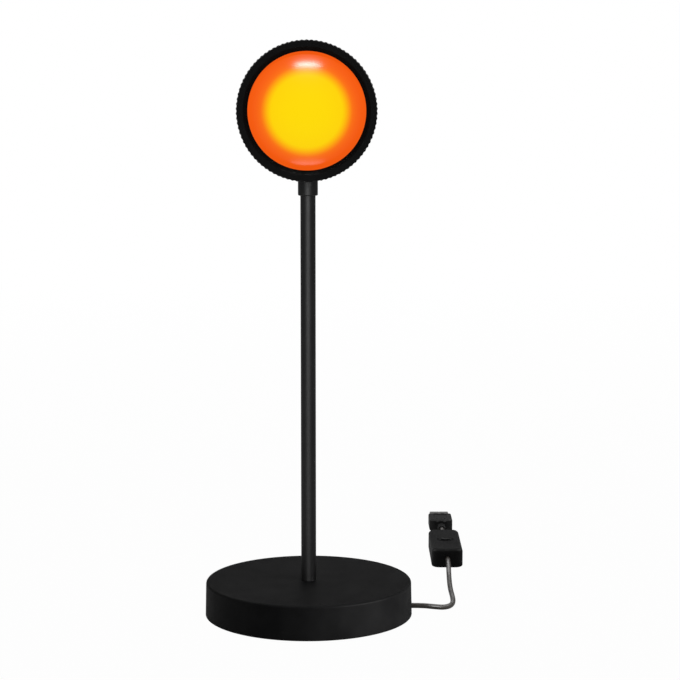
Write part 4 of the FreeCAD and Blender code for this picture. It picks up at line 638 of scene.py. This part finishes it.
def finish_for(slot):
    """The procedural material of one slot of the record, made when it is first asked for.

    Three finishes come straight from the textured one: cast iron with the coarse grain of its
    sand mould, smooth clear glass with an amber coating, and the dull yellow skin of phosphor.
    """
    colours = bpy.context.scene.lamp_colours
    head = (0.0, 0.0, HEAD_AXIS)
    makers = {
        "base_satin_black": lambda: moulded_abs("satin_moulded_abs", colours.case_black),
        "weight_iron": lambda: textured("cast_iron", colour("#4A4744"), 0.62, 0.8, 0.12,
                                        tone=0.05, Metallic=0.8),
        "plate_black": lambda: powder_coat("coated_sheet", colours.metal_black, 0.5),
        "foot_foam": lambda: foam("closed_cell_foam", colour("#1D1D1E")),
        "screw_steel": lambda: plated("zinc_plated_steel", colours.steel, 0.3),
        "screw_black": lambda: powder_coat("black_oxide_steel", colour("#1A1A1C"), 0.35),
        "bush_rubber": lambda: soft_pvc("black_rubber_bush", colours.case_black, 0.6, 0.2),
        "clamp_nylon": lambda: moulded_abs("natural_nylon", colour("#D9D4C4"), 0.4, 0.6),
        "pole_coat": lambda: powder_coat("powder_coated_tube", colours.metal_black),
        "lead_pvc": lambda: soft_pvc("extruded_pvc", colours.lead_black),
        "knuckle_metal": lambda: powder_coat("painted_brass_knuckle", colours.metal_black),
        "washer_plastic": lambda: moulded_abs("acetal", colour("#E2E0D8"), 0.35, 0.5),
        "head_metal": lambda: black_anodised("anodised_shell", colours.metal_black, "Y", head),
        "ring_metal": lambda: black_anodised("anodised_lens_ring", colours.metal_black, "Y", head),
        "lens_glass": lambda: lens_glass(colours),
        "filter_glass": lambda: textured("dichroic_glass", colour("#E8741A"), 0.08, 5.0, 0.002,
                                         Transmission_Weight=0.7, IOR=1.52),
        "seal_silicone": lambda: soft_pvc("clear_silicone", colour("#B9BBB6"), 0.4),
        "board_white": lambda: moulded_abs("white_solder_mask", colour("#E9EAE6"), 0.3, 0.4),
        "light_source": lambda: textured("yellow_phosphor", colour("#E9C53A"), 0.5, 0.4, 0.01),
        "cup_black": lambda: moulded_abs("black_light_cup", colours.case_black, 0.6),
        "switch_black": lambda: moulded_abs("matt_moulded_abs", colours.case_black, 0.48),
        "button_black": lambda: moulded_abs("smooth_moulded_abs", colours.case_black, 0.3),
        "latch_plastic": lambda: moulded_abs("glass_filled_nylon", colour("#2B2B2D"), 0.5),
        "spring_wire": lambda: plated("spring_steel", colours.steel, 0.18),
        "plug_pvc": lambda: soft_pvc("moulded_pvc", colours.case_black, 0.42, 0.3),
        "plug_nickel": lambda: plated("nickel_plated_sheet", colours.nickel, 0.2),
        "carrier_black": lambda: moulded_abs("contact_carrier", colour("#0E0E10"), 0.45),
        "contact_gold": lambda: plated("gold_plated_contact", colour("#D8B25A"), 0.2),
    }
    made = bpy.data.materials.get("slot_" + slot)
    if made is None:
        made = makers[slot]()
        made["real_finish"] = made.name
        made.name = "slot_" + slot
    return made


# ---------------------------------------------------------------- operators

class LAMP_OT_base_cover(bpy.types.Operator):
    """Turns the shallow moulded cup of the base, with its bosses and the lead's hole"""

    bl_idname = "lamp.base_cover"
    bl_label = "Base cover"

    def execute(self, context):
        sizes = context.scene.lamp_sizes
        rim, top = BASE_BOX[0].z, BASE_BOX[1].z
        bore = sizes.base_radius - sizes.base_wall
        hole = sizes.spigot_radius + sizes.spigot_play
        under = top - sizes.base_wall
        cup = turned_grid(rounded_outline([
            (hole, under), (bore, under, sizes.base_fillet), (bore, rim), (sizes.base_radius, rim),
            (sizes.base_radius - sizes.base_draft, top, sizes.base_edge), (hole, top),
        ]), 2 * STEPS_ROUND)
        plate_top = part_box("bottom_plate")[1].z
        weight_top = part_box("ballast_disc")[1].z
        circle = -(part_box("base_screws")[0].x + sizes.boss_inset)
        bosses = []
        for turn in (pi, pi / 3, -pi / 3):
            centre = (circle * np.cos(turn), circle * np.sin(turn))
            bosses.append((turned_grid(rounded_outline([
                (sizes.boss_bore, plate_top), (sizes.boss_radius, plate_top),
                (sizes.boss_radius, weight_top), (sizes.boss_root, weight_top),
                (sizes.boss_root, under), (sizes.boss_bore, under),
            ]), BOSS_STEPS, centre), True))
        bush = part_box("cord_grommet")
        height = (bush[0].z + bush[1].z) / 2
        mesh = drill(surface_mesh("base_cup", [(cup, True)] + bosses), [
            (sizes.bush_hole, (bore - OVERRUN, 0.0, height),
             (sizes.base_radius + OVERRUN, 0.0, height)),
        ])
        link_piece("base_cup", mesh, "base", "base_satin_black", ["base_cover"])
        return {"FINISHED"}


class LAMP_OT_base_inside(bpy.types.Operator):
    """Finishes the weight, plate, foot pad, screws, bush and clamp inside the base"""

    bl_idname = "lamp.base_inside"
    bl_label = "Base inside"

    def execute(self, context):
        return finish_nodes({
            "ballast_disc": "weight_iron", "bottom_plate": "plate_black",
            "foot_pad": "foot_foam", "base_screws": "screw_steel",
            "cord_grommet": "bush_rubber", "cord_clamp": "clamp_nylon",
            "clamp_screws": "screw_steel", "pole_washer": "screw_steel",
            "pole_nut": "screw_steel", "inner_lead": "lead_pvc",
        })


class LAMP_OT_pole(bpy.types.Operator):
    """Turns the coated tube with its threaded foot and the grub screw's groove"""

    bl_idname = "lamp.pole"
    bl_label = "Pole"

    def execute(self, context):
        sizes = context.scene.lamp_sizes
        foot, top = POLE_BOX[0].z, POLE_BOX[1].z
        deck = BASE_BOX[1].z
        groove_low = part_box("swivel_collar")[0].z + sizes.groove_rise
        groove_high = groove_low + sizes.groove_width
        groove_floor = sizes.pole_radius - sizes.groove_depth
        outline = rounded_outline([
            (sizes.pole_bore, foot), (sizes.spigot_radius, foot), (sizes.spigot_radius, deck),
            (sizes.pole_radius, deck), (sizes.pole_radius, groove_low),
            (groove_floor, groove_low), (groove_floor, groove_high),
            (sizes.pole_radius, groove_high), (sizes.pole_radius, top), (sizes.pole_bore, top),
        ])
        mesh = surface_mesh("pole", [(turned_grid(outline, POLE_STEPS), True)])
        link_piece("pole", mesh, "base", "pole_coat", ["pole_tube"])
        return {"FINISHED"}


class LAMP_OT_knuckle(bpy.types.Operator):
    """Finishes the swivel collar, its fork and tongue, and their screws and washers"""

    bl_idname = "lamp.knuckle"
    bl_label = "Knuckle"

    def execute(self, context):
        return finish_nodes({
            "swivel_collar": "knuckle_metal", "swivel_grub_screw": "screw_black",
            "friction_washers": "washer_plastic", "tilt_screw": "screw_black",
            "tilt_nut": "screw_black", "tilt_tongue": "knuckle_metal",
            "tongue_nut": "screw_steel",
        })


class LAMP_OT_head(bpy.types.Operator):
    """Finishes the turned shell and what it holds"""

    bl_idname = "lamp.head"
    bl_label = "Head"

    def execute(self, context):
        return finish_nodes({
            "head_shell": "head_metal", "rear_screws": "screw_black", "led_board": "board_white",
            "board_screws": "screw_steel", "led_chip": "light_source", "light_cup": "cup_black",
            "colour_filter": "filter_glass", "head_lead": "lead_pvc",
            "lens_gasket": "seal_silicone", "lens_keeper": "head_metal",
        })


class LAMP_OT_heat_sink(bpy.types.Operator):
    """Turns the grooved heat sink and drills it for the screws of the shell and the board"""

    bl_idname = "lamp.heat_sink"
    bl_label = "Heat sink"

    def execute(self, context):
        sizes = context.scene.lamp_sizes
        barrel, seat_face, back_face = SINK_BOX[1].x, SINK_BOX[0].y, SINK_BOX[1].y
        seat, joint, back = (place - RING_FACE for place in (
            seat_face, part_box("head_shell")[1].y, back_face))
        step = joint - sizes.sink_spigot
        corners = [
            (0.0, seat, 0.0), (sizes.sink_seat, seat), (sizes.sink_seat, step),
            (sizes.sink_plug, step), (sizes.sink_plug, joint), (barrel, joint),
        ]
        floor, groove = barrel - sizes.fin_depth, joint + sizes.fin_thickness
        for _ in range(sizes.fin_gaps):
            far_side = groove + sizes.fin_gap
            corners += [(barrel, groove), (floor, groove), (floor, far_side), (barrel, far_side)]
            groove = far_side + sizes.fin_thickness
        corners += [(barrel, back - sizes.sink_bevel), (barrel - sizes.sink_bevel, back),
                    (0.0, back, 0.0)]
        grid = along_head(turned_grid(rounded_outline(corners)))
        holes = []
        for turn in (pi / 2, pi / 2 + 2 * pi / 3, pi / 2 - 2 * pi / 3):
            across = sizes.sink_circle * np.cos(turn)
            height = HEAD_AXIS + sizes.sink_circle * np.sin(turn)
            behind = (across, back_face + OVERRUN, height)
            holes.append((sizes.sink_hole, (across, step + RING_FACE - OVERRUN, height), behind))
            holes.append((sizes.sink_recess, (across, back_face - sizes.recess_depth, height),
                          behind))
        for side in (-1, 1):
            across = sizes.board_circle * side
            holes.append((sizes.board_hole, (across, seat_face - OVERRUN, HEAD_AXIS),
                          (across, seat_face + sizes.board_hole_depth, HEAD_AXIS)))
        mesh = drill(surface_mesh("heat_sink", [(grid, False)]), holes)
        link_piece("grooved_heat_sink", mesh, "head", "head_metal", ["heat_sink"])
        return {"FINISHED"}


class LAMP_OT_lens_ring(bpy.types.Operator):
    """Turns the lens ring and cuts its straight ribs"""

    bl_idname = "lamp.lens_ring"
    bl_label = "Lens ring"

    def execute(self, context):
        sizes = context.scene.lamp_sizes
        outer, edge = sizes.ring_radius, sizes.ring_edge
        depth = RING_BOX[1].y - RING_BOX[0].y
        outline = rounded_outline([
            (sizes.ring_mouth, 0.0), (outer - edge, 0.0), (outer, edge), (outer, depth - edge),
            (outer - edge, depth), (sizes.ring_thread, depth),
            (sizes.ring_thread, sizes.ring_bore_end), (sizes.ring_bore, sizes.ring_bore_end),
            (sizes.ring_bore, sizes.ring_lip), (sizes.ring_opening, sizes.ring_lip),
            (sizes.ring_opening, sizes.ring_slope),
        ])
        columns = 12 * sizes.rib_count
        grid = along_head(turned_grid(outline, columns, limit=self.ribs(sizes)))
        mesh = surface_mesh("lens_ring", [(grid, True)])
        link_piece("lens_ring", mesh, "lens_ring", "ring_metal", ["bezel_ring"])
        return {"FINISHED"}

    def ribs(self, sizes):
        """How far the ring reaches at an angle: where a ray from the axis meets the hollow.

        The hollow is a circle whose middle stands outside the ring, so the near crossing is
        its distance times the cosine, less the root of its radius squared less the sine part.
        """
        away = sizes.ring_radius + sizes.rib_hollow - sizes.rib_depth
        pitch = 2 * pi / sizes.rib_count

        def reach(angle):
            turned = (angle / pitch + 0.5) % 1.0 * pitch - pitch / 2
            inside = sizes.rib_hollow ** 2 - (away * np.sin(turned)) ** 2
            near = away * np.cos(turned) - np.sqrt(np.maximum(inside, 0.0))
            return np.where(inside > 0, near, away)

        return reach


class LAMP_OT_lens(bpy.types.Operator):
    """Grinds the domed glass with its flat rim"""

    bl_idname = "lamp.lens"
    bl_label = "Lens"

    def execute(self, context):
        sizes = context.scene.lamp_sizes
        foot = LENS_BOX[0].y - RING_FACE + sizes.lens_rise
        rear = LENS_BOX[1].y - RING_FACE
        bend = (sizes.lens_dome ** 2 + sizes.lens_rise ** 2) / (2 * sizes.lens_rise)
        # The dome is a sphere's cap: bend times the sine, and one less the cosine, of the turn.
        turn = np.linspace(0, np.arcsin(sizes.lens_dome / bend), DOME_STEPS)
        cap = np.stack([bend * np.sin(turn), foot - sizes.lens_rise + bend * (1 - np.cos(turn))],
                       axis=-1)
        bevel = 0.2 * MM
        rim = np.array([
            (LENS_RADIUS - bevel, foot), (LENS_RADIUS, foot + bevel), (LENS_RADIUS, rear - bevel),
            (LENS_RADIUS - bevel, rear), (0.0, rear),
        ])
        grid = along_head(turned_grid(np.concatenate([cap, rim])))
        mesh = surface_mesh("domed_lens", [(grid, False)])
        lens = link_piece("domed_lens", mesh, "lens_cell", "lens_glass", ["front_lens"])
        self.share_lamps(lens)
        return {"FINISHED"}

    def share_lamps(self, lens):
        """Two lamps and the lens's own glow light the lens alone, and one lamp leaves it out."""
        for lamps, state in ((("lens_top", "lens_low", lens.name), "INCLUDE"),
                             (("overhead",), "EXCLUDE")):
            group = bpy.data.collections.new("lens_" + state.lower())
            group.objects.link(lens)
            group.collection_objects[0].light_linking.link_state = state
            for name in lamps:
                bpy.data.objects[name].light_linking.receiver_collection = group


class LAMP_OT_switch(bpy.types.Operator):
    """Finishes the switch's case and what it holds, and turns its press button"""

    bl_idname = "lamp.switch"
    bl_label = "Switch"

    def execute(self, context):
        finish_nodes({
            "switch_top_shell": "switch_black", "switch_bottom_shell": "switch_black",
            "switch_screws": "screw_steel", "latch_block": "latch_plastic",
        })
        sizes = context.scene.lamp_sizes
        spring = merged_copy("button_spring", "spring_wire", SHARP_EDGE)
        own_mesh(spring)
        corner, far = BUTTON_BOX
        middle = ((corner.x + far.x) / 2, (corner.y + far.y) / 2)
        low, top, flange = corner.z, far.z, far.x - middle[0]
        face, shoulder = sizes.button_face, far.z - sizes.button_height
        under = shoulder - sizes.button_flange
        # The face is sunk by a share of the squared distance from its middle.
        reach = np.linspace(0, face - sizes.button_rim, DISH_STEPS)
        dish = np.stack([reach, top - sizes.button_dish * (1 - (reach / reach[-1]) ** 2)], axis=-1)
        side = np.array([
            (face - 0.4 * sizes.button_rim, top - 0.2 * sizes.button_drop),
            (face, top - sizes.button_drop), (face, shoulder),
            (flange, shoulder), (flange, under), (sizes.button_stem, under),
            (sizes.button_stem, low), (0.0, low),
        ])
        grid = turned_grid(np.concatenate([dish, side]), BUTTON_STEPS, middle)
        mesh = surface_mesh("press_button", [(grid, False)])
        link_piece("press_button", mesh, "button", "button_black", ["switch_button"])
        return {"FINISHED"}


class LAMP_OT_plug(bpy.types.Operator):
    """Finishes the moulded grip, the folded metal shell, the carrier and its contacts"""

    bl_idname = "lamp.plug"
    bl_label = "Plug"

    def execute(self, context):
        return finish_nodes({
            "plug_overmould": "plug_pvc", "plug_shell": "plug_nickel",
            "plug_carrier": "carrier_black", "plug_contacts": "contact_gold",
        }, weigh_by="CORNER_ANGLE")


class LAMP_OT_leads(bpy.types.Operator):
    """Lays both stretches of the lead on the table, each on one smooth curve"""

    bl_idname = "lamp.leads"
    bl_label = "Leads"

    def execute(self, context):
        radius = context.scene.lamp_sizes.lead_radius
        lower = self.lay("lead_to_switch", LOWER_ROUTE, radius, "cord_lower")
        upper = self.lay("lead_to_plug", UPPER_ROUTE, radius, "cord_upper")
        return {"FINISHED"}

    def lay(self, name, route, radius, node):
        """One open spline whose control points are the route's, with a round section."""
        curve = bpy.data.curves.new(name, "CURVE")
        curve.dimensions = "3D"
        curve.bevel_depth = radius
        curve.bevel_resolution = 8
        curve.use_fill_caps = True
        spline = curve.splines.new("NURBS")
        spline.points.add(len(route) - 1)
        weighted = np.hstack([route, np.ones((len(route), 1))])
        spline.points.foreach_set("co", weighted.ravel())
        spline.order_u = 3
        spline.use_endpoint_u = True
        spline.resolution_u = 16
        return place_piece(name, curve, "base", "lead_pvc", [node])


class LAMP_OT_studio(bpy.types.Operator):
    """Sets the camera, the pale sweep that the lamp stands on, and the soft lamps"""

    bl_idname = "lamp.studio"
    bl_label = "Studio"

    def execute(self, context):
        studio = context.scene.lamp_studio
        lens = bpy.data.cameras.new("camera")
        lens.lens, lens.sensor_width = studio.lens, 36.0
        camera = bpy.data.objects.new("camera", lens)
        camera.location = studio.place
        camera.rotation_euler = (pi / 2 - studio.pitch, 0.0, 0.0)
        context.scene.collection.objects.link(camera)
        context.scene.camera = camera
        context.scene.view_settings.view_transform = "Standard"
        self.sweep(context)
        self.world(context)
        for name, setting, *where in LAMPS:
            self.lamp(context, name, getattr(studio, setting), *where)
        for name in LIT_ALONE:
            group = bpy.data.collections.new(name + "_lit")
            bpy.data.objects[name].light_linking.receiver_collection = group
        return {"FINISHED"}

    def lamp(self, context, name, power, place, target, panel, shape):
        """A soft box: an area lamp as large as its panel, turned to face the target."""
        light = bpy.data.lights.new(name, "AREA")
        light.shape, light.size, light.size_y = shape, *panel
        light.energy = power
        item = bpy.data.objects.new(name, light)
        item.location = place
        aim = Vector(target) - Vector(place)
        item.rotation_euler = aim.to_track_quat("-Z", "Y").to_euler()
        item.visible_camera = False
        context.scene.collection.objects.link(item)

    def sweep(self, context):
        """A floor that bends up behind: flat, then a quarter turn, then straight up.

        The turn runs the bend's radius times the sine of its angle back, and the radius times
        one less the cosine up.
        """
        bend, behind, reach = 0.5, 1.6, 4.0
        turn = np.linspace(0, pi / 2, SWEEP_STEPS)
        along = np.concatenate([[-reach], behind + bend * np.sin(turn), [behind + bend]])
        up = np.concatenate([[0.0], bend * (1 - np.cos(turn)), [reach]])
        points = np.stack([
            np.repeat([[-reach], [reach]], len(along), axis=1),
            np.stack([along, along]), np.stack([up, up]),
        ], axis=-1).reshape(-1, 3)
        step = np.arange(len(along) - 1)
        quads = np.stack([step, step + len(along), step + len(along) + 1, step + 1], axis=-1)
        mesh = bpy.data.meshes.new("sweep")
        mesh.from_pydata(points.tolist(), [], quads.tolist())
        mesh.shade_smooth()
        mesh.materials.append(self.paper())
        floor = bpy.data.objects.new("sweep", mesh)
        context.scene.collection.objects.link(floor)

    def paper(self):
        """White paper: mostly white to the camera and in gloss, so only the shadow shows."""
        material = bpy.data.materials.new("white_paper")
        tree = bare_tree(material)
        fibre = add_node(tree, "MapRange", {"Value": grain(tree, 2.0, 3.0), "From Min": 0.3,
                                            "From Max": 0.7})
        tone = add_node(tree, "Mix", {0: fibre.outputs["Result"], 6: colour("#F4F4F4"),
                                      7: colour("#F8F8F8")}, data_type="RGBA")
        matt = add_node(tree, "BsdfDiffuse", {"Color": tone.outputs[2]})
        white = add_node(tree, "Emission", {"Color": (1, 1, 1, 1), "Strength": 1.0})
        where = add_node(tree, "TexCoord")
        away = add_node(tree, "VectorMath", {0: where.outputs["Object"]}, operation="LENGTH")
        whiter = add_node(tree, "MapRange", {"Value": away.outputs["Value"], "From Min": 0.4,
                                             "From Max": 1.6, "To Min": 0.98, "To Max": 1.0})
        share = add_node(tree, "Math", {0: self.seen(tree), 1: whiter.outputs["Result"]},
                         operation="MULTIPLY")
        mix = add_node(tree, "MixShader", {0: share.outputs[0], 1: matt.outputs[0],
                                           2: white.outputs[0]})
        add_node(tree, "OutputMaterial", {"Surface": mix.outputs[0]})
        return material

    def seen(self, tree):
        """1 for what the camera sees straight or through glass, and a share of it in gloss."""
        path = add_node(tree, "LightPath")
        clear = add_node(tree, "Math", {0: path.outputs["Is Camera Ray"],
                                        1: path.outputs["Is Transmission Ray"]},
                         operation="MAXIMUM")
        gloss = add_node(tree, "Math", {0: path.outputs["Is Glossy Ray"], 1: GLOSS_SHARE},
                         operation="MULTIPLY")
        return add_node(tree, "Math", {0: clear.outputs[0], 1: gloss.outputs[0]},
                        operation="MAXIMUM").outputs[0]

    def world(self, context):
        """A white backdrop that adds only a faint light from all round."""
        world = bpy.data.worlds.new("studio")
        context.scene.world = world
        tree = bare_tree(world)
        dim = add_node(tree, "Background", {"Color": (1, 1, 1, 1), "Strength": WORLD_FILL})
        white = add_node(tree, "Background", {"Color": (1, 1, 1, 1), "Strength": 1.0})
        mix = add_node(tree, "MixShader", {0: self.seen(tree), 1: dim.outputs[0],
                                           2: white.outputs[0]})
        add_node(tree, "OutputWorld", {"Surface": mix.outputs[0]})


class LAMP_PT_panel(bpy.types.Panel):
    """Lists the lamp's pieces in the sidebar, in the order they are made"""

    bl_idname = "LAMP_PT_panel"
    bl_label = "Sunset Lamp"
    bl_space_type = "VIEW_3D"
    bl_region_type = "UI"
    bl_category = "Sunset Lamp"

    def draw(self, context):
        for operator in OPERATORS:
            self.layout.operator(operator.bl_idname)
        for group in ("lamp_sizes", "lamp_colours", "lamp_studio"):
            settings = getattr(context.scene, group)
            box = self.layout.box()
            for name in settings.bl_rna.properties.keys()[2:]:
                box.prop(settings, name)


OPERATORS = (
    LAMP_OT_studio, LAMP_OT_base_cover, LAMP_OT_base_inside, LAMP_OT_pole, LAMP_OT_knuckle,
    LAMP_OT_head, LAMP_OT_heat_sink, LAMP_OT_lens_ring, LAMP_OT_lens, LAMP_OT_switch,
    LAMP_OT_plug, LAMP_OT_leads,
)
GROUPS = (("lamp_sizes", LampSizes), ("lamp_colours", LampColours),
          ("lamp_studio", StudioSettings))


def register():
    for name, group in GROUPS:
        bpy.utils.register_class(group)
        setattr(bpy.types.Scene, name, bpy.props.PointerProperty(type=group))
    for item in OPERATORS + (LAMP_PT_panel,):
        bpy.utils.register_class(item)


def unregister():
    for item in reversed(OPERATORS + (LAMP_PT_panel,)):
        bpy.utils.unregister_class(item)
    for name, group in reversed(GROUPS):
        delattr(bpy.types.Scene, name)
        bpy.utils.unregister_class(group)


def main():
    """Registers the add-on and makes every piece in order."""
    register()
    for operator in OPERATORS:
        family, name = operator.bl_idname.split(".")
        getattr(getattr(bpy.ops, family), name)()


if __name__ == "__main__":
    main()
